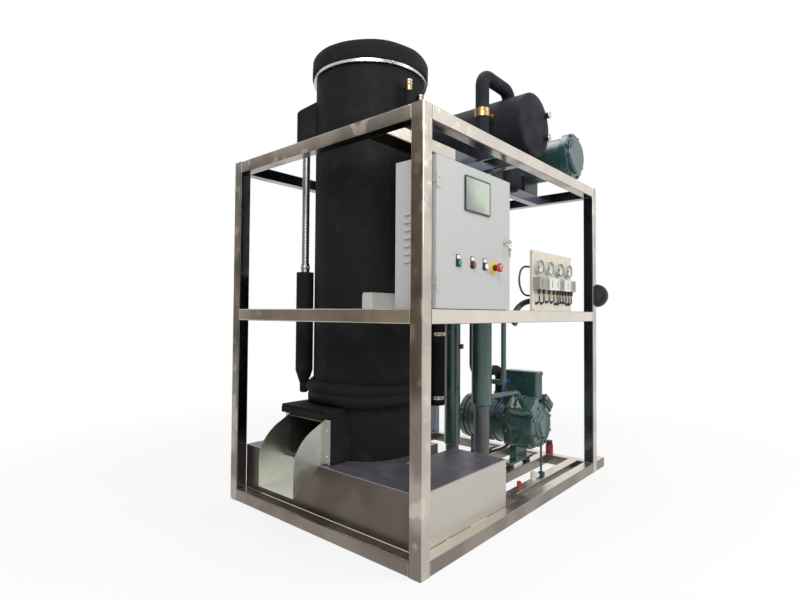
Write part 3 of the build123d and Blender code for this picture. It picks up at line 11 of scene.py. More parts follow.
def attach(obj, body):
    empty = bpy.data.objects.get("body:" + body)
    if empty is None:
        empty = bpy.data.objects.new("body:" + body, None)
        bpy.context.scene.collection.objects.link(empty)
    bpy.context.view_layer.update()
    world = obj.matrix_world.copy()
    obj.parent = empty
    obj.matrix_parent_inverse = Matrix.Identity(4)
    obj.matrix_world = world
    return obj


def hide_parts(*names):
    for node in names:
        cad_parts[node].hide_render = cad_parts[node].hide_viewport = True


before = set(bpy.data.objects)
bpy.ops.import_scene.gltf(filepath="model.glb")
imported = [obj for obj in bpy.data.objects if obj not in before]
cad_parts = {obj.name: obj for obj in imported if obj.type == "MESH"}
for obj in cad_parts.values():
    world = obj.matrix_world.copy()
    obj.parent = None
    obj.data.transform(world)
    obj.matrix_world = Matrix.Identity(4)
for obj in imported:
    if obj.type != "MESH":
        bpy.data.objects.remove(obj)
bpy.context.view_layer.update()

bl_info = {
    "name": "Tube ice machine looks",
    "version": (1, 0, 0),
    "blender": (4, 5, 0),
    "location": "3D View > Sidebar > Ice machine",
    "description": "Finishes and detail for a tube ice machine in a steel tube frame",
    "category": "Object",
}


# Where the part's pieces stand, in millimetres from the frame's near bottom corner

FRAME_L, FRAME_W, FRAME_H = 1800, 1300, 1800
TUBE = 60
MIDDLE_TOP = 1010
TOWER = (458, 725)
ROLL_FOOT = 540
ROLL_TIE = ROLL_FOOT + 56
TOWER_JOINTS = (652, 1130, 1665)
TOWER_SEAM_X = 330
DUCT_JOINT = 503
RING_MIDDLE = 2210
CAP_FOOT = 2222
CAP_JOINT = CAP_FOOT + 10
CAP_SEAM_X = 470
LEVEL_COLUMN = (221, 966)
COLUMN_JOINTS = (1208, 1862)
SLEEVE_FOOT, SLEEVE_TOP = 1252, 1832
FEED_COLUMN = (842, 561)
GAS_VALVE = (397, 403, 2110)
BLEED_VALVE = (518, 429, 2080)
HINGE_SCREWS_X = 99
HINGE_SCREWS_Z = (1095, 1125, 1510, 1540)
LOCK_X, LOCK_Z = 622, 1325
FRONT = Vector((0, -1, 0))


def at(x, y, z):
    """One of these places, in metres about the origin."""
    return Vector((x - FRAME_L / 2, y - FRAME_W / 2, z)) / 1000


def tower_at(height):
    """A place on the tower's axis."""
    return at(*TOWER, height)


def outward_and_aside(angle):
    """The level direction at an angle, and the one square to it."""
    outward = Vector((math.cos(angle), math.sin(angle), 0))
    return outward, Vector((-outward.y, outward.x, 0))


# Shader maths

class Value:
    """A shader socket that can be used in plain sums."""

    def __init__(self, nodes, socket):
        self.nodes, self.socket = nodes, socket

    def sum(self, operation, *others):
        return self.nodes.node("Math", {"operation": operation}, dict(enumerate((self, *others))))

    def __add__(self, other):
        return self.sum("ADD", other)

    def __mul__(self, other):
        return self.sum("MULTIPLY", other)

    def __sub__(self, other):
        return self.sum("SUBTRACT", other)

    def __rsub__(self, other):
        return self.nodes.node("Math", {"operation": "SUBTRACT"}, {0: other, 1: self})

    def most(self, other):
        return self.sum("MAXIMUM", other)

    __radd__, __rmul__ = __add__, __mul__

    def abs(self):
        return self.sum("ABSOLUTE")

    def over(self, edge, soft=0.0):
        """1 where the value is above edge, 0 below, with a soft step between."""
        if not soft:
            return self.sum("GREATER_THAN", edge)
        sockets = {"Value": self, "From Min": edge - soft, "From Max": edge + soft}
        return self.nodes.node("MapRange", {"interpolation_type": "SMOOTHSTEP", "clamp": True}, sockets)


SEEING_RAYS = ("Camera", "Glossy", "Transmission")


class Nodes:
    """A node tree, of a material or of the world."""

    def __init__(self, owner):
        owner.use_nodes = True
        self.tree = owner.node_tree

    def feed(self, socket, value):
        """Links a value to a socket, or sets the socket to a constant."""
        if isinstance(value, Value):
            self.tree.links.new(value.socket, socket)
        elif isinstance(value, (tuple, list)) and len(value) == 3 and socket.type == "RGBA":
            socket.default_value = (*value, 1.0)
        else:
            socket.default_value = value

    def node(self, kind, settings=None, sockets=None, out=0):
        """Adds a node: its settings first, then the values or links of its sockets."""
        made = self.tree.nodes.new("ShaderNode" + kind)
        for key, value in (settings or {}).items():
            setattr(made, key, value)
        for key, value in (sockets or {}).items():
            self.feed(made.inputs[key], value)
        return Value(self, made.outputs[out])

    def seen_directly(self):
        """1 where the camera, a mirror or glass looks at the surface, 0 where it only gives light."""
        camera, glossy, clear = (self.node("LightPath", out="Is %s Ray" % kind) for kind in SEEING_RAYS)
        return (camera + glossy + clear).sum("MINIMUM", 1.0)


class Finish(Nodes):
    """A material whose colour, roughness and relief come from nodes."""

    def __init__(self, name, metal=0.0, rough=0.5, coat=0.0):
        self.material = bpy.data.materials.new(name)
        super().__init__(self.material)
        self.shader = self.tree.nodes["Principled BSDF"]
        self.shader.inputs["Metallic"].default_value = metal
        self.shader.inputs["Roughness"].default_value = rough
        self.shader.inputs["Coat Weight"].default_value = coat
        self.place = self.node("TexCoord", out="Object")

    def stretched(self, scale):
        return self.node("Mapping", None, {"Vector": self.place, "Scale": scale})

    def noise(self, scale, detail=3.0, vector=None):
        sockets = {"Vector": vector or self.place, "Scale": scale, "Detail": detail, "Roughness": 0.55}
        return self.node("TexNoise", None, sockets)

    def axis(self, letter):
        return self.node("SeparateXYZ", None, {0: self.place}, out="XYZ".index(letter))

    def mix(self, share, first, second):
        return self.node("Mix", {"data_type": "RGBA"}, {0: share, 6: first, 7: second}, out=2)

    def set(self, name, value):
        self.feed(self.shader.inputs[name], value)
        return self

    def relief(self, height, strength=0.3, depth=0.001):
        sockets = {"Strength": strength, "Distance": depth, "Height": height}
        return self.set("Normal", self.node("Bump", None, sockets))

    def facing(self, letter):
        """How far the surface faces along an axis, from -1 to 1."""
        normal = self.node("NewGeometry", out="Normal")
        return self.node("SeparateXYZ", None, {0: normal}, out="XYZ".index(letter))

    def span(self, letter, low, high):
        """1 between two places on an axis, given in metres."""
        place = self.axis(letter)
        return place.over(low) * (1 - place.over(high))

    def inside(self, low, high):
        """1 inside the box between two places."""
        spans = [self.span(letter, *ends) for letter, ends in zip("XYZ", zip(low, high))]
        return spans[0] * spans[1] * spans[2]

    def round_spot(self, centre, radius, letters="XZ"):
        """1 within a radius of a line that runs square to two axes."""
        offsets = [self.axis(letter) - centre["XYZ".index(letter)] for letter in letters]
        return 1 - (offsets[0] * offsets[0] + offsets[1] * offsets[1]).over(radius * radius)


# Finishes

GRAIN = {"X": (1.5, 90, 90), "Z": (90, 90, 1.5)}

# Painted shade: the tint of faces that look down, left or to the front, which lie in shade or mirror dark
# surroundings
FACING_SHADE = (0.15, 0.125, 0.105)
# Painted shade: the tint of inward faces, which mirror the machine's dark, shaded inside
INWARD_SHADE = (0.11, 0.125, 0.155)


def tinted(colour, *tints):
    """A colour times one tint for all its parts, or a tint for each, kept below white."""
    return tuple(min(1.0, part * tint) for part, tint in zip(colour, tints * 3 if len(tints) == 1 else tints))


def steel(name, colour, grain="Z", rough=0.15, face_shades=(0.0, 0.0, 0.0), inner=False, lights=0.0, wide=0.3):
    """Polished stainless steel with fine grain, wide soft zones, painted glints and fingerprints.

    The face shades say how much painted shade darkens the faces that look down, left and to the
    front, and glints how far the painted glints break through it. Inner paints shade on the inward
    faces of the far posts and rails and on the beams that carry the vessels, the dark reflection of
    the machine's shaded inside, and wide is the strength of the zones.
    """
    f = Finish(name, metal=1.0)
    lines = f.noise(4.0, 2.0, f.stretched(GRAIN[grain]))
    # spots are painted glints: bright lamp reflections that break through the painted shade
    zones, spots = f.noise(5.0, 1.0).over(0.5, 0.12), f.noise(13.0, 1.0).over(0.63, 0.05)
    smear = f.noise(28.0, 3.0).over(0.6, 0.1)
    tone = f.mix(lines * 0.3, colour, tinted(colour, 1.12))
    tone = f.mix(zones * wide * 1.6, tone, tinted(colour, 1.22, 1.16, 1.10))
    # film is the painted shade tone that faces looking down, left and to the front take on
    film = tinted(colour, *FACING_SHADE)
    for letter, amount in zip("ZXY", face_shades):
        if amount:
            open_part = 1 - zones * wide - spots * (0.0 if letter == "Z" else lights)
            tone = f.mix((0 - f.facing(letter)).over(0.5, 0.2) * open_part * amount, tone, film)
    # Painted shade on the inward faces and the vessel beams: the dark reflection of the shaded inside
    if inner:
        far = at(1700, 1200, 0)
        left = (0 - f.facing("X")).over(0.5, 0.2) * f.axis("X").over(far.x)
        front = (0 - f.facing("Y")).over(0.5, 0.2) * f.axis("Y").over(far.y)
        beams = f.inside(at(560, 61, 1500), at(1739, 1239, 1900))
        tone = f.mix((left + front).most(beams) * 0.92, tone, INWARD_SHADE)
    f.set("Base Color", tone)
    f.set("Roughness", rough + lines * 0.08 + smear * 0.08)
    return f.relief(lines, 0.06, 0.0003).material


def foam(name, colour, joints=(), seam_x=None):
    """Black closed-cell foam: fine pores, soft dents, glued joints, dust and rubbed greyish places."""
    f = Finish(name)
    pores = f.noise(420.0, 2.0)
    dents = f.noise(7.0, 3.0)
    rubbed = f.noise(11.0, 5.0).over(0.62, 0.12)
    groove = None
    height = f.axis("Z") + f.noise(6.0, 1.0) * 0.008
    for joint in joints:
        gap = 1 - (height - joint / 1000).abs().over(0.0016, 0.0012)
        groove = gap if groove is None else groove.most(gap)
    if seam_x is not None:
        seam = f.axis("X") + f.noise(5.0, 1.0) * 0.006 - at(seam_x, 0, 0).x
        gap = 1 - seam.abs().over(0.0014, 0.001)
        groove = gap if groove is None else groove.most(gap)
    dust = f.noise(90.0, 2.0).over(0.7, 0.04)
    tone = f.mix(rubbed * 0.8 + pores * 0.3 + dust, colour, tinted(colour, 2.4))
    relief = pores * 0.2 + dents * 3.0
    if groove is not None:
        tone = f.mix(groove * 0.7, tone, tinted(colour, 2.6))
        relief = relief - groove * 0.5
    f.set("Base Color", tone)
    f.set("Roughness", 0.6 + pores * 0.25)
    f.shader.inputs["Specular IOR Level"].default_value = 0.14
    return f.relief(relief, 0.5, 0.004).material


def paint(name, colour, rough=0.35, coat=0.3, dust=0.25):
    """Sprayed paint with a faint orange peel and dust in soft clouds."""
    f = Finish(name, coat=coat)
    cloud = f.noise(7.0, 5.0).over(0.56, 0.14)
    speck = f.noise(160.0, 2.0).over(0.66, 0.05)
    dusty = tuple(c * 0.75 + 0.09 for c in colour)
    f.set("Base Color", f.mix(cloud * dust + speck * dust * 0.4, colour, dusty))
    f.set("Roughness", rough + cloud * 0.18)
    return f.relief(f.noise(240.0, 1.0), 0.15, 0.0006).material


def plastic(name, colour, rough=0.38):
    """Moulded plastic with a slight mottle and a fine spark-eroded grain."""
    f = Finish(name)
    cloud, grain = f.noise(30.0, 3.0), f.noise(700.0, 1.0)
    paler = tuple(min(1.0, c * 1.3 + 0.01) for c in colour)
    f.set("Base Color", f.mix(cloud * 0.4, colour, paler))
    f.set("Roughness", rough + cloud * 0.12)
    return f.relief(grain, 0.08, 0.0003).material


def patched(name, ground, patches, rough=0.4, coat=0.0, metal=None):
    """Moulded or painted pieces that share a node: each patch is a mask maker and its colour.

    Metal, where given, is the mask maker of the bare metal among them.
    """
    f = Finish(name, coat=coat)
    cloud = f.noise(30.0, 3.0)
    tone = f.mix(cloud * 0.35, ground, tuple(min(1.0, c * 1.25 + 0.008) for c in ground))
    for mask, colour in patches:
        tone = f.mix(mask(f), tone, f.mix(cloud * 0.5, colour, tinted(colour, 0.86)))
    f.set("Base Color", tone)
    if metal:
        f.set("Metallic", metal(f))
    f.set("Roughness", rough + cloud * 0.12)
    return f.relief(f.noise(500.0, 1.0), 0.08, 0.0003).material


def box(low, high):
    """A mask maker for the box between two places."""
    return lambda f: f.inside(low, high)


def brass(name):
    """Turned brass with darker tarnish."""
    f = Finish(name, metal=1.0)
    colour = (0.40, 0.27, 0.12)
    tarnish = f.noise(60.0, 4.0).over(0.52, 0.15)
    f.set("Base Color", f.mix(tarnish * 0.6, colour, tinted(colour, 0.5)))
    f.set("Roughness", 0.3 + tarnish * 0.2)
    return f.relief(f.noise(5.0, 2.0, f.stretched(GRAIN["X"])), 0.1, 0.0003).material


def dress(finish, *nodes):
    """Puts a finish on CAD nodes."""
    for name in nodes:
        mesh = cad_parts[name].data
        mesh.materials.clear()
        mesh.materials.append(finish)


def new_piece(name, mesh, finish, body, replaced=(), smooth=True):
    """Makes an object of a finished bmesh, lets it ride on a body and hides what it stands for."""
    bmesh.ops.recalc_face_normals(mesh, faces=mesh.faces)
    data = bpy.data.meshes.new(name)
    mesh.to_mesh(data)
    mesh.free()
    for face in data.polygons:
        face.use_smooth = smooth
    data.materials.append(finish)
    piece = bpy.data.objects.new(name, data)
    bpy.context.scene.collection.objects.link(piece)
    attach(piece, body)
    if replaced:
        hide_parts(*replaced)
    return piece


# Shapes

def slab(mesh, low, high, soft=0.0):
    """A block between two places, its edges softened by a bevel."""
    made = bmesh.ops.create_cube(mesh, size=1.0)["verts"]
    bmesh.ops.scale(mesh, vec=high - low, verts=made)
    bmesh.ops.translate(mesh, vec=(low + high) / 2, verts=made)
    if soft:
        edges = list({edge for vert in made for edge in vert.link_edges})
        bmesh.ops.bevel(mesh, geom=edges, offset=soft, segments=2, affect="EDGES", profile=0.5, material=-1)


def rod(mesh, start, end, radius, sides=24):
    """A round bar between two places, or a prism where it has few sides."""
    along = end - start
    turn = Vector((0, 0, 1)).rotation_difference(along).to_matrix().to_4x4()
    place = Matrix.Translation((start + end) / 2) @ turn
    made = bmesh.ops.create_cone(mesh, cap_ends=True, segments=sides, radius1=radius, radius2=radius,
                                 depth=along.length, matrix=place)
    return made["verts"]


def lathe(mesh, outline, place, along=Vector((0, 0, 1)), steps=48):
    """A turned piece: (radius, height) points in metres, spun round an axis through a place."""
    before = set(mesh.verts)
    start = [mesh.verts.new((radius, 0, height)) for radius, height in outline]
    edges = [mesh.edges.new(pair) for pair in zip(start, start[1:])]
    bmesh.ops.spin(mesh, geom=start + edges, cent=(0, 0, 0), axis=(0, 0, 1), angle=2 * math.pi, steps=steps,
                   use_merge=True)
    made = [vert for vert in mesh.verts if vert not in before]
    bmesh.ops.remove_doubles(mesh, verts=made, dist=0.00002)
    made = [vert for vert in mesh.verts if vert not in before]
    turn = Vector((0, 0, 1)).rotation_difference(along).to_matrix().to_4x4()
    bmesh.ops.transform(mesh, matrix=Matrix.Translation(place) @ turn, verts=made)
    return made


def hex_head(mesh, place, along, across):
    """A hexagon head with a washer under it."""
    washer, head = along * 0.0012, along * 0.0052
    rod(mesh, place, place + washer, across * 0.78, 20)
    rod(mesh, place + washer, place + head, across * 0.58, 6)


def pan_head(mesh, place, along, radius):
    """A domed screw head with a small round socket in its middle."""
    shape = [(0, 0), (1, 0), (1, 0.25), (0.75, 0.6), (0.25, 0.68), (0.2, 0.4), (0, 0.4)]
    lathe(mesh, [(radius * out, radius * high) for out, high in shape], place, along, 16)


def weld(mesh, start, end, radius=0.0016):
    """A weld bead: a thin bar turned with a row of swellings."""
    length, laps = (end - start).length, 30
    bead = [(radius * (1 + 0.2 * math.sin(lap * 2.1)), length * lap / laps) for lap in range(laps + 1)]
    lathe(mesh, [(0, 0), *bead, (0, length)], start, end - start, 8)


# What a user can change

class IceMachineColours(PropertyGroup):
    """Colours of the paints, the foam and the steel"""
    foam: FloatVectorProperty(name="Foam", description="Colour of the insulation foam",
                              subtype="COLOR", default=(0.0062, 0.0062, 0.0066), min=0.0, max=1.0)
    plant: FloatVectorProperty(name="Plant paint", description="Colour of the compressor and vessels",
                               subtype="COLOR", default=(0.016, 0.060, 0.052), min=0.0, max=1.0)
    cabinet: FloatVectorProperty(name="Cabinet paint", description="Colour of the control cabinet",
                                 subtype="COLOR", default=(0.425, 0.425, 0.415), min=0.0, max=1.0)
    panel: FloatVectorProperty(name="Panel paint", description="Colour of the gauge panel",
                               subtype="COLOR", default=(0.56, 0.54, 0.46), min=0.0, max=1.0)
    steel: FloatVectorProperty(name="Steel", description="Tone of the stainless frame",
                               subtype="COLOR", default=(0.66, 0.61, 0.55), min=0.0, max=1.0)


class IceMachineStage(PropertyGroup):
    """Settings of the camera and the light"""
    lens: FloatProperty(name="Lens", description="Focal length of the camera in millimetres",
                        default=22.87, min=10.0, max=120.0)
    lamp: FloatProperty(name="Lamp power", description="Power of the main soft lamp",
                        subtype="POWER", default=170.0, min=0.0)
    world: FloatProperty(name="World strength", description="Strength of the even light from all round",
                         default=0.42, min=0.0, max=3.0)


def colours():
    """The scene's colour settings."""
    return bpy.context.scene.ice_machine_colours


class ICE_OT_frame(Operator):
    """Dress the steel tube frame"""
    bl_idname = "ice.frame"
    bl_label = "Frame"

    def execute(self, context):
        tone = tuple(colours().steel)
        # The triples paint shade on faces that look down, left and to the front; True paints shade on the
        # inward faces, and the last number lets painted glints through it
        dress(steel("Post steel", tone, "Z", 0.13, (0.8, 0.82, 0.35), True, 0.3), "corner_posts")
        dress(steel("Rail steel", tone, "X", 0.13, (0.9, 0.2, 0.0), True, 0.6), "middle_rails")
        dress(steel("Top steel", tone, "X", 0.13, (0.9, 0.62, 0.05), True, 0.8), "top_frame")
        dress(steel("Base steel", tone, "X", 0.26, (0.6, 0.86, 0.8), wide=0.12), "base_frame", "tower_stand")
        dress(paint("Saddle black", (0.012, 0.013, 0.015), 0.45), "vessel_saddles")
        mesh = bmesh.new()
        for top in (TUBE, MIDDLE_TOP, FRAME_H):
            joint_welds(mesh, top)
        weld_steel = steel("Weld steel", (0.40, 0.37, 0.35), "Z", 0.3)
        new_piece("joint_welds", mesh, weld_steel, "machine")
        return {"FINISHED"}


def joint_welds(mesh, top):
    """Weld beads where one ring of rails meets the four posts."""
    low, inset = top - TUBE, 5
    far_x, far_y = FRAME_L - TUBE, FRAME_W - TUBE
    for post_x in (TUBE, far_x):
        for face in (0, TUBE, far_y, FRAME_W):
            weld(mesh, at(post_x, face, low + inset), at(post_x, face, top - inset))
    for post_y in (TUBE, far_y):
        for face in (0, TUBE, far_x, FRAME_L):
            weld(mesh, at(face, post_y, low + inset), at(face, post_y, top - inset))
    for x in (TUBE, far_x):
        for y in (inset, far_y + inset):
            for z in (low, top):
                if 0 < z < FRAME_H:
                    weld(mesh, at(x, y, z), at(x, y + TUBE - 2 * inset, z))


def dented_cap(mesh):
    """Foam cover glued up from a band and a disc: soft, uneven and a little sunken."""
    place = tower_at(CAP_FOOT)
    wall = [(0.287, 0.0), (0.309, 0.0), (0.312, 0.004), (0.312, 0.03), (0.312, 0.06), (0.3115, 0.082)]
    seam = [(0.306, 0.0845), (0.3085, 0.088)]
    edge = [(0.303, 0.098), (0.29, 0.104), (0.26, 0.1065)]
    roof = [(0.21, 0.107), (0.15, 0.106), (0.08, 0.105), (0, 0.104)]
    for vert in lathe(mesh, wall + seam + edge + roof, place, steps=96):
        local = vert.co - place
        reach = math.hypot(local.x, local.y)
        hollow = max(0.0, local.z - 0.09) / 0.017
        wave = noise.noise(Vector((vert.co.x * 5.5, vert.co.y * 5.5, 0.3))) * 0.5 + 0.5
        vert.co.z -= hollow * wave * 0.026
        if reach > 0.25:
            ripple = noise.noise(Vector((vert.co.x * 9, vert.co.y * 9, vert.co.z * 7))) * 0.5 + 0.5
            pull = 1 - (0.007 * ripple + 0.006 * hollow * wave) / reach
            vert.co.x = place.x + local.x * pull
            vert.co.y = place.y + local.y * pull


def clamp_lug(mesh, angle):
    """Closing lug of the clamping ring: two ears and the bolt through them."""
    outward, aside = outward_and_aside(angle)
    middle = tower_at(RING_MIDDLE + 4) + outward * 0.3005
    for side in (-1, 1):
        foot = middle + aside * side * 0.014
        rod(mesh, foot - aside * 0.0025, foot + aside * 0.0025, 0.0085, 20)
    rod(mesh, middle - aside * 0.032, middle + aside * 0.03, 0.003, 16)
    rod(mesh, middle + aside * 0.0165, middle + aside * 0.022, 0.0062, 6)
    rod(mesh, middle - aside * 0.022, middle - aside * 0.0165, 0.0062, 6)


def pipe_band(mesh, x, y, z, radius, width=20, angle=-2.3):
    """A hose clip: a thin band with rolled edges and its tightening screw."""
    inner = (radius + 0.2) / 1000
    outer, half = inner + 0.0016, width / 2000
    rim, flat = outer + 0.0006, half * 0.7
    back = [(rim, half), (inner, half), (inner, -half)]
    lathe(mesh, [(inner, -half), (rim, -half), (outer, -flat), (outer, flat), *back], at(x, y, z))
    outward, aside = outward_and_aside(angle)
    middle = at(x, y, z) + outward * (outer + 0.004)
    rod(mesh, middle - aside * 0.013, middle + aside * 0.013, 0.0045, 16)
    rod(mesh, middle + aside * 0.013, middle + aside * 0.019, 0.0055, 6)


def rivets(mesh, count=48):
    """Row of small bright studs round the clamping ring."""
    for step in range(count):
        outward, _ = outward_and_aside(2 * math.pi * step / count)
        spot = tower_at(RING_MIDDLE) + outward * 0.302
        rod(mesh, spot, spot + outward * 0.0012, 0.0032, 10)


def foam_roll(mesh):
    """Hand-wrapped foam round the tower's foot: two fat lumpy turns squeezed by a tie between them."""
    place = tower_at(ROLL_FOOT)
    lower = [(0.285, 0.002), (0.300, 0.002), (0.312, 0.010), (0.3155, 0.028), (0.313, 0.046)]
    tie = [(0.305, 0.056)]
    upper = [(0.3125, 0.064), (0.316, 0.082), (0.311, 0.100), (0.301, 0.109), (0.288, 0.112)]
    for vert in lathe(mesh, lower + tie + upper, place, steps=120):
        local = vert.co - place
        reach = math.hypot(local.x, local.y)
        if reach > 0.292:
            lump = noise.noise(Vector((vert.co.x * 5, vert.co.y * 5, vert.co.z * 9))) * 0.016
            crease = noise.noise(Vector((vert.co.x * 16, vert.co.y * 16, vert.co.z * 30))) * 0.006
            swell = 1 + (lump + crease + 0.008) / reach
            vert.co.x, vert.co.y = place.x + local.x * swell, place.y + local.y * swell
            vert.co.z += lump * 0.8


def valve_head(mesh, x, y, z, radius):
    """Bonnet, spindle and cap of an angle valve."""
    r = radius / 1000
    bonnet = [(0, 0), (r * 1.12, 0), (r * 1.12, 0.006)]
    spindle = [(r * 0.8, 0.008), (r * 0.8, 0.013)]
    cap = [(r * 1.05, 0.014), (r * 1.05, 0.024), (r * 0.9, 0.027), (0, 0.028)]
    lathe(mesh, bonnet + spindle + cap, at(x, y, z), steps=24)


def stub_end(mesh, x, y, z, radius):
    """Bright blind end of a vessel stub: a flat ring, a screwed plug and its hexagon."""
    r = radius / 1000
    plug = [(0, 0.004), (r * 0.55, 0.004), (r * 0.6, 0.0005), (r * 0.8, 0.0005)]
    ring = [(r * 0.85, 0.006), (r * 1.08, 0.006), (r * 1.12, 0.003), (r * 1.12, -0.008), (r * 1.02, -0.008)]
    lathe(mesh, plug + ring, at(x, y, z), FRONT, 32)
    rod(mesh, at(x, y - 4, z), at(x, y - 9, z), r * 0.36, 6)


def ribbed_hose(mesh, x, y, low, high, radius):
    """Spiral-ribbed sleeve round a pipe, drawn as close rings."""
    pitch = 0.008
    steps = round((high - low) / 1000 / pitch)
    hollow = radius / 1000
    rib = hollow + 0.0022
    outline = []
    for step in range(steps):
        start = step * pitch
        outline += [(hollow, start), (rib, start + pitch * 0.3), (rib, start + pitch * 0.6)]
    outline.append((hollow, steps * pitch))
    lathe(mesh, outline, at(x, y, low), steps=20)


class ICE_OT_tower(Operator):
    """Dress the freezing tower, its pipes and the cutter"""
    bl_idname = "ice.tower"
    bl_label = "Freezing tower"

    def execute(self, context):
        tone = tuple(colours().foam)
        dress(foam("Tower foam", tone, TOWER_JOINTS, TOWER_SEAM_X), "tower_foam")
        dress(foam("Cap foam", tone, (CAP_JOINT,), CAP_SEAM_X), "tower_cap")
        dress(foam("Duct foam", tone, (DUCT_JOINT,)), "outlet_foam")
        dress(foam("Pipe foam", tone, COLUMN_JOINTS), "column_foam")
        dress(steel("Tower steel", (0.55, 0.53, 0.50), "Z", 0.22), "tower_shell", "clamp_band", "tube_bundle",
              "cutter_disc", "level_column", "pump_pipes")
        dress(steel("Chamber steel", (0.16, 0.15, 0.14), "Z", 0.45, wide=0.1), "cutter_chamber")
        dress(paint("Motor paint", (0.05, 0.055, 0.06)), "cutter_motor", "water_pump", "vessel_feet")
        dress(brass("Valve brass"), "brass_valves", "float_valve")
        cap = bmesh.new()
        dented_cap(cap)
        cap_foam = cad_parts["tower_cap"].data.materials[0]
        new_piece("cap_cover", cap, cap_foam, "machine", ("tower_cap",))
        bright = steel("Clip steel", (0.52, 0.49, 0.44), "Z", 0.25)
        trim = bmesh.new()
        clamp_lug(trim, math.radians(-118))
        rivets(trim)
        pipe_band(trim, *FEED_COLUMN, 877, 54.5)
        pipe_band(trim, *FEED_COLUMN, 520, 51.5)
        pipe_band(trim, *LEVEL_COLUMN, 1230, 22.5, 14)
        new_piece("tower_clips", trim, bright, "machine")
        roll = bmesh.new()
        foam_roll(roll)
        new_piece("foam_roll", roll, foam("Roll foam", tone, (ROLL_TIE,)), "machine")
        heads = bmesh.new()
        valve_head(heads, *GAS_VALVE, 16)
        valve_head(heads, *BLEED_VALVE, 13)
        valve_steel = steel("Valve steel", (0.45, 0.43, 0.40), "Z", 0.25)
        new_piece("valve_heads", heads, valve_steel, "machine")
        sleeve = bmesh.new()
        ribbed_hose(sleeve, *LEVEL_COLUMN, SLEEVE_FOOT, SLEEVE_TOP, 17.7)
        sleeve_steel = steel("Sleeve steel", (0.30, 0.29, 0.28), "Z", 0.3)
        new_piece("column_sleeve", sleeve, sleeve_steel, "machine")
        return {"FINISHED"}


def lid_finish():
    """Grey film-covered sheet, paler along its folded edges and a little scuffed."""
    f = Finish("Lid film", metal=0.35)
    scuffs = f.noise(9.0, 5.0, f.stretched((3, 1, 1))).over(0.58, 0.12)
    tone = f.mix(scuffs * 0.5, (0.105, 0.098, 0.122), (0.155, 0.148, 0.17))
    near, far = at(66, 66, 0), at(738.5, 0, 0)
    rims = (1 - f.axis("X").over(near.x)).most(1 - f.axis("Y").over(near.y)).most(f.axis("X").over(far.x))
    f.set("Base Color", f.mix(rims * 0.8, tone, (0.30, 0.29, 0.31)))
    f.set("Roughness", 0.36 + scuffs * 0.2)
    return f.relief(f.noise(3.0, 2.0), 0.25, 0.004).material


class ICE_OT_chute(Operator):
    """Dress the ice chute and the water tank"""
    bl_idname = "ice.chute"
    bl_label = "Chute and tank"

    def execute(self, context):
        dress(steel("Chute steel", (0.52, 0.53, 0.48), "Z", 0.32, wide=0.1), "ice_chute", "chute_screws")
        # Painted shade darkens the tank's left-facing faces strongly and its front faces a little
        dress(steel("Tank steel", (0.60, 0.57, 0.51), "Z", 0.26, (0.0, 0.97, 0.2), wide=0.05), "water_tank")
        dress(lid_finish(), "tank_lid")
        dress(plastic("Float plastic", (0.75, 0.30, 0.04)), "float_arm")
        return {"FINISHED"}


BUTTONS_X = (235, 342, 440)
STOP_X = 519
CONTROL_Z = 1199
YELLOW = (0.80, 0.52, 0.04)
BLACK = (0.016, 0.016, 0.017)
WHITE = (0.72, 0.72, 0.69)


def screen_finish():
    """Glossy glass over a switched-off panel, with a painted reflection that makes it paler towards its far
    upper corner.
    """
    f = Finish("Screen glass", coat=0.6)
    corner = at(280, 0, 1423)
    # glare is a painted reflection on the glass, paler towards the far upper corner
    glare = (f.axis("X") - corner.x) * 3.0 + (f.axis("Z") - corner.z) * 2.2 + f.noise(9.0, 3.0) * 0.5
    f.set("Base Color", f.mix(glare.over(0.62, 0.3), (0.17, 0.20, 0.165), (0.42, 0.49, 0.39)))
    f.set("Roughness", 0.06 + f.noise(40.0, 3.0).over(0.6, 0.1) * 0.12)
    return f.relief(f.noise(2.0, 1.0), 0.02, 0.001).material


def door_trim(mesh):
    """Screws of the hinge leaves and of the lock."""
    for z in HINGE_SCREWS_Z:
        pan_head(mesh, at(HINGE_SCREWS_X, 0, z), FRONT, 0.0035)
    for z in (LOCK_Z - 12, LOCK_Z + 12):
        pan_head(mesh, at(LOCK_X, 0, z), FRONT, 0.0025)


def stop_ring(mesh):
    """Raised ring and grip lobes on the emergency stop's head."""
    centre = at(STOP_X, -42, CONTROL_Z)
    outer, inner, low, high = 0.0125, 0.0105, 0.0002, 0.0012
    lathe(mesh, [(outer, low), (outer, high), (inner, high), (inner, low), (outer, low)], centre, FRONT, 40)
    for step in range(3):
        angle = math.radians(90 + 120 * step)
        spot = centre + Vector((math.cos(angle) * 0.0072, -0.0004, math.sin(angle) * 0.0072))
        rod(mesh, spot, spot + Vector((0, -0.0008, 0)), 0.0022, 3)


def controls_finish():
    """Black holders and collars with white inserts, and the yellow plate round the stop."""
    low, high = CONTROL_Z + 17.5, CONTROL_Z + 33.5
    patches = [(box(at(x - 12.5, -6, low), at(x + 12.5, -2.6, high)), WHITE) for x in BUTTONS_X]
    patches.append((stop_plate, YELLOW))
    return patched("Button holders", BLACK, patches, 0.36)


def stop_plate(f):
    """The mask of the round plate behind the emergency stop."""
    return f.round_spot(at(STOP_X, 0, CONTROL_Z), 0.031) * f.span("Y", at(0, -3.2, 0).y, at(0, 0.5, 0).y)


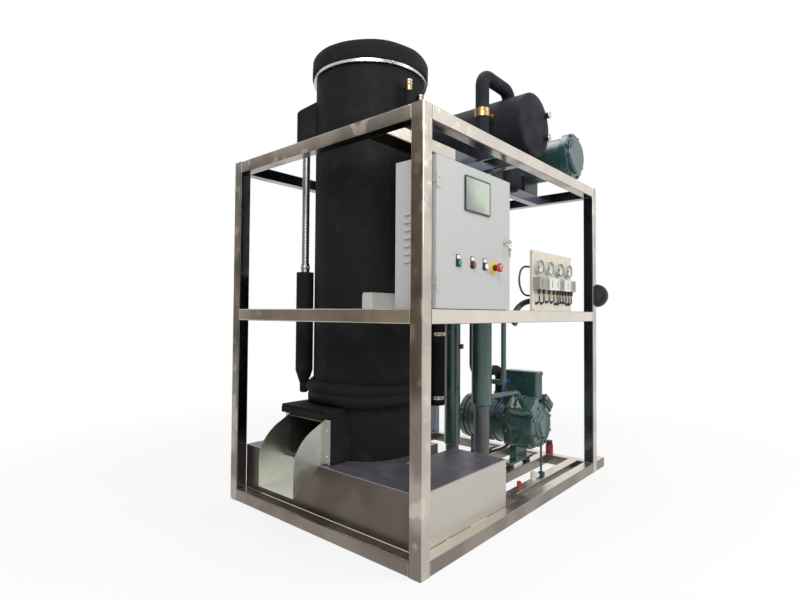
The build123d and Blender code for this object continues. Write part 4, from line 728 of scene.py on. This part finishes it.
class ICE_OT_cabinet(Operator):
    """Dress the control cabinet and its buttons"""
    bl_idname = "ice.cabinet"
    bl_label = "Cabinet"

    def execute(self, context):
        cabinet_paint = paint("Cabinet paint", tuple(colours().cabinet), 0.42, 0.1, 0.08)
        dress(cabinet_paint, "cabinet_body", "cabinet_door")
        dress(plastic("Screen bezel", (0.02, 0.02, 0.025)), "touch_screen")
        dress(controls_finish(), "button_bezels")
        dress(plastic("Green button", (0.02, 0.24, 0.17), 0.25), "start_button")
        dress(plastic("Red button", (0.22, 0.02, 0.03), 0.25), "stop_button")
        dress(plastic("Red stop", (0.42, 0.035, 0.035), 0.35), "stop_head")
        dress(plastic("White button", (0.75, 0.75, 0.72), 0.25), "reset_button")
        dress(plastic("White box", (0.42, 0.42, 0.41), 0.35), "junction_box")
        dress(plastic("Grey switchgear", (0.25, 0.26, 0.27)), "switchgear")
        dress(steel("Lock steel", (0.50, 0.48, 0.45), "Z", 0.2), "door_lock")
        glass = bmesh.new()
        slab(glass, at(286.5, -6.7, 1429.5), at(471.5, -5.9, 1566.5), 0.0003)
        new_piece("screen_glass", glass, screen_finish(), "door", smooth=False)
        screws = bmesh.new()
        door_trim(screws)
        screw_steel = steel("Screw steel", (0.6, 0.6, 0.58), "Z", 0.3)
        new_piece("door_screws", screws, screw_steel, "door")
        ring = bmesh.new()
        stop_ring(ring)
        pale = plastic("White mark", (0.7, 0.68, 0.66))
        new_piece("stop_marks", ring, pale, "mushroom")
        return {"FINISHED"}


GAUGES_X = (993, 1115, 1245, 1367)
GAUGE_Z = 1240
DIAL_Y = 7
GLASS_FRONT = -4
PANEL_Y = 20
CONTROLS = ((951, 116), (1069, 124), (1195, 65), (1262, 82), (1346, 72))


def dial_direction(share):
    """Direction of a place on the scale, from the low end at 0 to the high end at 1."""
    angle = math.radians(-135 + 270 * share)
    return Vector((math.sin(angle), 0, math.cos(angle)))


def dial_face(mesh, x):
    """White dial disc with a slightly raised rim."""
    outline = [(0, 0), (0.0316, 0), (0.0316, 0.0011), (0.0309, 0.0011), (0.0307, 0.0007), (0, 0.0007)]
    lathe(mesh, outline, at(x, DIAL_Y, GAUGE_Z), FRONT)


def dial_marks(mesh, x):
    """Scale marks, with a longer and thicker one at each fifth."""
    centre, toward = at(x, DIAL_Y - 0.7, GAUGE_Z), Vector((0, -0.00015, 0))
    for step in range(31):
        outward = dial_direction(step / 30)
        long = step % 5 == 0
        inner = centre + outward * (0.0232 if long else 0.0258)
        made = rod(mesh, inner + toward, centre + outward * 0.0288 + toward, 0.00055 if long else 0.0003, 8)
        bmesh.ops.scale(mesh, vec=(1, 0.4, 1), verts=made, space=Matrix.Translation(-centre))


def dial_numbers(mesh, x, top):
    """Plain numbers at the long marks."""
    for step in range(0, 7, 2):
        outward = dial_direction(step / 6)
        words = bpy.data.curves.new("number", "FONT")
        words.body, words.size, words.extrude = str(top * step // 6), 0.0065, 0.0001
        words.align_x, words.align_y = "CENTER", "CENTER"
        holder = bpy.data.objects.new("number", words)
        flat = bpy.data.meshes.new_from_object(holder)
        place = at(x, DIAL_Y - 0.85, GAUGE_Z) + outward * 0.0178
        flat.transform(Matrix.Translation(place) @ Matrix.Rotation(math.radians(90), 4, "X"))
        mesh.from_mesh(flat)
        bpy.data.objects.remove(holder)
        bpy.data.meshes.remove(flat)


def control_details(dark, bright):
    """Scale slots, covers' screws and the adjusting spindles of the pressure controls."""
    front = PANEL_Y - 40
    for x, width in CONTROLS:
        for share in (0.22, 0.78) if width > 100 else (0.5,):
            middle = x + width * share
            slab(dark, at(middle - 3, front - 0.5, 1133), at(middle + 3, front + 0.2, 1172), 0.0002)
            slab(bright, at(middle - 8, front - 0.4, 1150), at(middle - 5, front + 0.2, 1152), 0.0001)
            rod(bright, at(middle, PANEL_Y - 22, 1184.9), at(middle, PANEL_Y - 22, 1190), 0.004, 12)
        for corner in (x + 7, x + width - 7):
            pan_head(bright, at(corner, front, 1178), FRONT, 0.003)
    for x in (952, 1428):
        for z in (1020, 1315):
            hex_head(bright, at(x, PANEL_Y, z), FRONT, 0.007)


def panel_finish():
    """Cream panel with four small yellow tags."""
    low, high = GAUGE_Z + 54, GAUGE_Z + 70
    tags = [(box(at(x - 15, 17, low), at(x + 7, 19.5, high)), YELLOW) for x in GAUGES_X]
    return patched("Panel paint", tuple(colours().panel), tags, 0.42, 0.1)


def case_finish():
    """Gauge cases: dark rims and sides, white inside, and clear discs that let the dials show."""
    f = Finish("Gauge cases")
    spots = [f.round_spot(at(x, 0, GAUGE_Z), 0.0322) for x in GAUGES_X]
    clear = functools.reduce(Value.most, spots)
    inside = clear * f.span("Y", at(0, GLASS_FRONT + 2.5, 0).y, at(0, 12, 0).y)
    sides = f.axis("Y").over(at(0, GLASS_FRONT + 1, 0).y)
    tone = f.mix(sides, (0.05, 0.05, 0.052), (0.50, 0.50, 0.46))
    f.set("Base Color", f.mix(inside, tone, (0.62, 0.63, 0.58)))
    glass = clear * f.span("Y", at(0, GLASS_FRONT - 0.5, 0).y, at(0, GLASS_FRONT + 2.5, 0).y)
    f.set("Roughness", 0.25 + f.noise(30.0, 3.0) * 0.15)
    return f.set("Alpha", 1 - glass * 0.95).material


def control_finish():
    """Pressure controls: grey covers between white ones."""
    pale = (0.66, 0.66, 0.62)
    whites = [(across_x(1066, 1194), pale), (across_x(1261, 1345), pale)]
    return patched("Pressure controls", (0.27, 0.26, 0.24), whites, 0.45)


def across_x(low, high):
    """A mask maker for all that stands between two places along the panel."""
    return lambda f: f.span("X", at(low, 0, 0).x, at(high, 0, 0).x)


def bar_of(z_low, z_high, y_low, y_high):
    """A mask maker for a bar along the panel."""
    low, high = at(0, y_low, z_low), at(0, y_high, z_high)
    return lambda f: f.span("Z", low.z, high.z) * f.span("Y", low.y, high.y)


def gland_finish():
    """Black glands, unions and cables with bright brass necks between them."""
    neck = bar_of(1087, 1099, -30, 30)
    tube = bar_of(1062, 1087, -12, 12)
    patches = [(neck, (0.45, 0.32, 0.14)), (tube, (0.06, 0.055, 0.05))]
    return patched("Glands and pipes", BLACK, patches, 0.32, 0.0, neck)


class ICE_OT_gauges(Operator):
    """Dress the gauge panel, gauges and pressure controls"""
    bl_idname = "ice.gauges"
    bl_label = "Gauge panel"

    def execute(self, context):
        dress(panel_finish(), "gauge_panel")
        dress(case_finish(), "gauge_cases")
        dress(plastic("Pointer black", (0.01, 0.01, 0.01)), *("gauge_needle_%d" % n for n in (1, 2, 3, 4)))
        dress(control_finish(), "pressure_controls")
        dress(gland_finish(), "control_fittings")
        faces, marks, dark, bright = bmesh.new(), bmesh.new(), bmesh.new(), bmesh.new()
        for x, top in zip(GAUGES_X, (12, 18, 30, 18)):
            dial_face(faces, x)
            dial_marks(marks, x)
            dial_numbers(marks, x, top)
        control_details(dark, bright)
        ink = plastic("Dial ink", (0.012, 0.012, 0.014), 0.5)
        white = plastic("Dial white", (0.70, 0.71, 0.66), 0.4)
        screw_steel = steel("Control screws", (0.6, 0.58, 0.55), "Z", 0.3)
        new_piece("dial_faces", faces, white, "machine")
        new_piece("dial_marks", marks, ink, "machine", smooth=False)
        new_piece("control_slots", dark, ink, "machine", smooth=False)
        new_piece("control_screws", bright, screw_steel, "machine")
        return {"FINISHED"}


ACCUMULATOR_X = 1286
ACCUMULATOR_FACE = 84
ACCUMULATOR_Z = 2088


def base_fitting_finish():
    """Red cartridge with its black top, green oil tube, white elbow and red cap."""
    cartridge = box(at(1740, 270, 58), at(1800, 340, 122))
    tube = box(at(1262, 100, 58), at(1360, 200, 300))
    elbow = box(at(1170, 110, 58), at(1255, 170, 110))
    cap = box(at(1010, 110, 58), at(1050, 170, 100))
    red = (0.32, 0.02, 0.02)
    patches = [(cartridge, red), (tube, tuple(colours().plant)), (elbow, (0.62, 0.60, 0.50)), (cap, red)]
    return patched("Base fittings", BLACK, patches, 0.4)


def cable_finish():
    """Black cable loop and the blue control cable."""
    return patched("Compressor cables", BLACK, [(above_loop, (0.02, 0.06, 0.30))], 0.4)


def above_loop(f):
    """The mask of the heights where only the blue cable runs."""
    return f.span("Z", at(0, 0, 388).z, at(0, 0, 700).z)


class ICE_OT_plant(Operator):
    """Dress the vessels, lines and the compressor"""
    bl_idname = "ice.plant"
    bl_label = "Refrigeration plant"

    def execute(self, context):
        tone = tuple(colours().plant)
        green = tuple(part * 1.15 + 0.003 for part in tone)
        dress(paint("Plant green", green, 0.26, 0.6), "oil_separator", "receiver", "compressor_body",
              "cylinder_heads", "terminal_box", "discharge_lines")
        bluer = tuple(part * 0.75 + extra for part, extra in zip(tone, (0.006, 0.010, 0.022)))
        dress(paint("Condenser paint", bluer, 0.3, 0.4, 0.2), "condenser")
        vessel_foam = foam("Vessel foam", tinted(colours().foam, 2.0, 2.2, 2.7))
        dress(vessel_foam, "suction_riser", "accumulator", "suction_line")
        dress(plastic("Mount rubber", (0.015, 0.015, 0.015), 0.6), "compressor_mounts", "capped_connection")
        dress(cable_finish(), "compressor_cables")
        dress(base_fitting_finish(), "base_fittings")
        trim = bmesh.new()
        for up in (62, -70):
            stub_end(trim, ACCUMULATOR_X, ACCUMULATOR_FACE, ACCUMULATOR_Z + up, 17)
        stub_steel = steel("Stub steel", (0.52, 0.50, 0.47), "Z", 0.25)
        new_piece("stub_ends", trim, stub_steel, "machine")
        return {"FINISHED"}


class ICE_OT_stage(Operator):
    """Set the floor, lamps, world and camera"""
    bl_idname = "ice.stage"
    bl_label = "Stage"

    def execute(self, context):
        values = context.scene.ice_machine_stage
        sweep_floor()
        wall_card()
        lamp("Key lamp", (-3.6, -2.6, 4.2), (0.0, 0.0, 1.2), 2.6, values.lamp)
        lamp("Front lamp", (1.6, -4.6, 3.0), (0.2, 0.0, 1.1), 2.4, values.lamp * 0.6)
        lamp("Top lamp", (0.4, 0.6, 5.2), (0.0, 0.0, 1.5), 3.0, values.lamp * 0.5)
        plain_world(values.world)
        camera(values.lens)
        context.scene.view_settings.view_transform = "Standard"
        return {"FINISHED"}


FLOOR_TURN = 49.2


def sweep_floor():
    """A pale floor that curves up behind the machine."""
    f = Finish("Pale floor", rough=0.8)
    f.set("Base Color", f.mix(f.noise(1.5, 3.0) * 0.3, (0.80, 0.80, 0.80), (0.83, 0.83, 0.83)))
    glow = f.node("Emission", None, {"Color": (1.0, 1.0, 1.0), "Strength": 1.0})
    away = f.axis("X") * f.axis("X") + f.axis("Y") * f.axis("Y")
    share = f.seen_directly() * (0.78 + away.over(6.5, 5.0) * 0.22)
    blend = f.node("MixShader", None, {0: share, 1: Value(f, f.shader.outputs[0]), 2: glow})
    f.feed(f.tree.nodes["Material Output"].inputs["Surface"], blend)
    mesh = bmesh.new()
    bend, reach, side = 5.0, 9.0, 26.0
    turns = [math.radians(9 * step) for step in range(1, 11)]
    profile = [(-14.0, 0.0), (reach, 0.0)]
    profile += [(reach + bend * math.sin(turn), bend * (1 - math.cos(turn))) for turn in turns]
    profile.append((reach + bend, 16.0))
    start = [mesh.verts.new((-side, y, z)) for y, z in profile]
    edges = [mesh.edges.new(pair) for pair in zip(start, start[1:])]
    swept = bmesh.ops.extrude_edge_only(mesh, edges=edges)
    moved = [item for item in swept["geom"] if isinstance(item, bmesh.types.BMVert)]
    bmesh.ops.translate(mesh, vec=(2 * side, 0, 0), verts=moved)
    bmesh.ops.rotate(mesh, verts=mesh.verts, matrix=Matrix.Rotation(math.radians(-FLOOR_TURN), 3, "Z"))
    stage_object("floor", mesh, f.material, True)


def stage_object(name, mesh, finish, smooth=False):
    """Makes an object of the stage, which stays out of the part."""
    data = bpy.data.meshes.new(name)
    mesh.to_mesh(data)
    mesh.free()
    for face in data.polygons:
        face.use_smooth = smooth
    data.materials.append(finish)
    made = bpy.data.objects.new(name, data)
    bpy.context.scene.collection.objects.link(made)
    return made


def lamp(name, place, target, size, power):
    """A round soft lamp that looks at a target."""
    light = bpy.data.lights.new(name, "AREA")
    light.shape, light.size, light.energy = "DISK", size, power
    holder = bpy.data.objects.new(name, light)
    holder.location = place
    holder.rotation_euler = (Vector(target) - Vector(place)).to_track_quat("-Z", "Y").to_euler()
    bpy.context.scene.collection.objects.link(holder)


def plain_world(strength):
    """Even pale light from all round, white where the camera, metal and glass see it."""
    world = bpy.data.worlds.new("Pale studio")
    bpy.context.scene.world = world
    light = Nodes(world)
    background = light.tree.nodes["Background"]
    level = {"Value": light.seen_directly(), "To Min": strength, "To Max": 1.0}
    light.feed(background.inputs["Color"], (1.0, 1.0, 1.0))
    light.feed(background.inputs["Strength"], light.node("MapRange", None, level))


def wall_card():
    """A brown wall with paler patches beside the machine, for metal and gloss to mirror."""
    f = Finish("Card brown", rough=0.9)
    patches = f.noise(0.9, 2.0).over(0.55, 0.1)
    low = 1 - f.axis("Z").over(1.6, 1.4)
    f.set("Base Color", f.mix(patches * 0.5 + low * 0.3, (0.13, 0.11, 0.09), (0.80, 0.72, 0.58)))
    mesh = bmesh.new()
    bmesh.ops.create_grid(mesh, x_segments=1, y_segments=1, size=0.5)
    bmesh.ops.scale(mesh, vec=(3.4, 6.5, 1.0), verts=mesh.verts)
    bmesh.ops.rotate(mesh, verts=mesh.verts, matrix=Matrix.Rotation(math.radians(90), 3, "Y"))
    bmesh.ops.translate(mesh, vec=(-3.9, 2.6, 1.7), verts=mesh.verts)
    card = stage_object("wall_card", mesh, f.material)
    for ray in ("camera", "diffuse", "transmission", "shadow", "volume_scatter"):
        setattr(card, "visible_" + ray, False)


CAMERA_YAW, CAMERA_PITCH, CAMERA_ROLL = 49.204, 1.536, 0.389
CAMERA_PLACE = (-2.3885, -1.8252, 0.9906)


def camera(lens):
    """The photograph's camera, fitted to the frame's corners."""
    yaw, pitch, roll = (math.radians(angle) for angle in (CAMERA_YAW, CAMERA_PITCH, CAMERA_ROLL))
    ahead = Vector((math.sin(yaw) * math.cos(pitch), math.cos(yaw) * math.cos(pitch), math.sin(pitch)))
    level = Vector((math.cos(yaw), -math.sin(yaw), 0.0))
    rise = level.cross(ahead)
    right = level * math.cos(roll) + rise * math.sin(roll)
    up = rise * math.cos(roll) - level * math.sin(roll)
    data = bpy.data.cameras.new("Photo camera")
    data.lens, data.sensor_width = lens, 36.0
    view = bpy.data.objects.new("Photo camera", data)
    turned = Matrix((right, up, -ahead)).transposed().to_4x4()
    view.matrix_world = Matrix.Translation(CAMERA_PLACE) @ turned
    bpy.context.scene.collection.objects.link(view)
    bpy.context.scene.camera = view


class ICE_PT_panel(Panel):
    """Sidebar panel with all settings and one button for each step"""
    bl_label = "Ice machine"
    bl_space_type = "VIEW_3D"
    bl_region_type = "UI"
    bl_category = "Ice machine"

    def draw(self, context):
        for group in (context.scene.ice_machine_colours, context.scene.ice_machine_stage):
            for name in group.__annotations__:
                self.layout.prop(group, name)
        for step in STEPS:
            self.layout.operator(step.bl_idname)


STEPS = (ICE_OT_frame, ICE_OT_tower, ICE_OT_chute, ICE_OT_cabinet, ICE_OT_gauges, ICE_OT_plant, ICE_OT_stage)
CLASSES = (IceMachineColours, IceMachineStage, *STEPS, ICE_PT_panel)


def register():
    for item in CLASSES:
        bpy.utils.register_class(item)
    bpy.types.Scene.ice_machine_colours = PointerProperty(type=IceMachineColours)
    bpy.types.Scene.ice_machine_stage = PointerProperty(type=IceMachineStage)


def unregister():
    del bpy.types.Scene.ice_machine_colours
    del bpy.types.Scene.ice_machine_stage
    for item in reversed(CLASSES):
        bpy.utils.unregister_class(item)


def main():
    register()
    for step in STEPS:
        group, call = step.bl_idname.split(".")
        getattr(getattr(bpy.ops, group), call)()


if __name__ == "__main__":
    main()
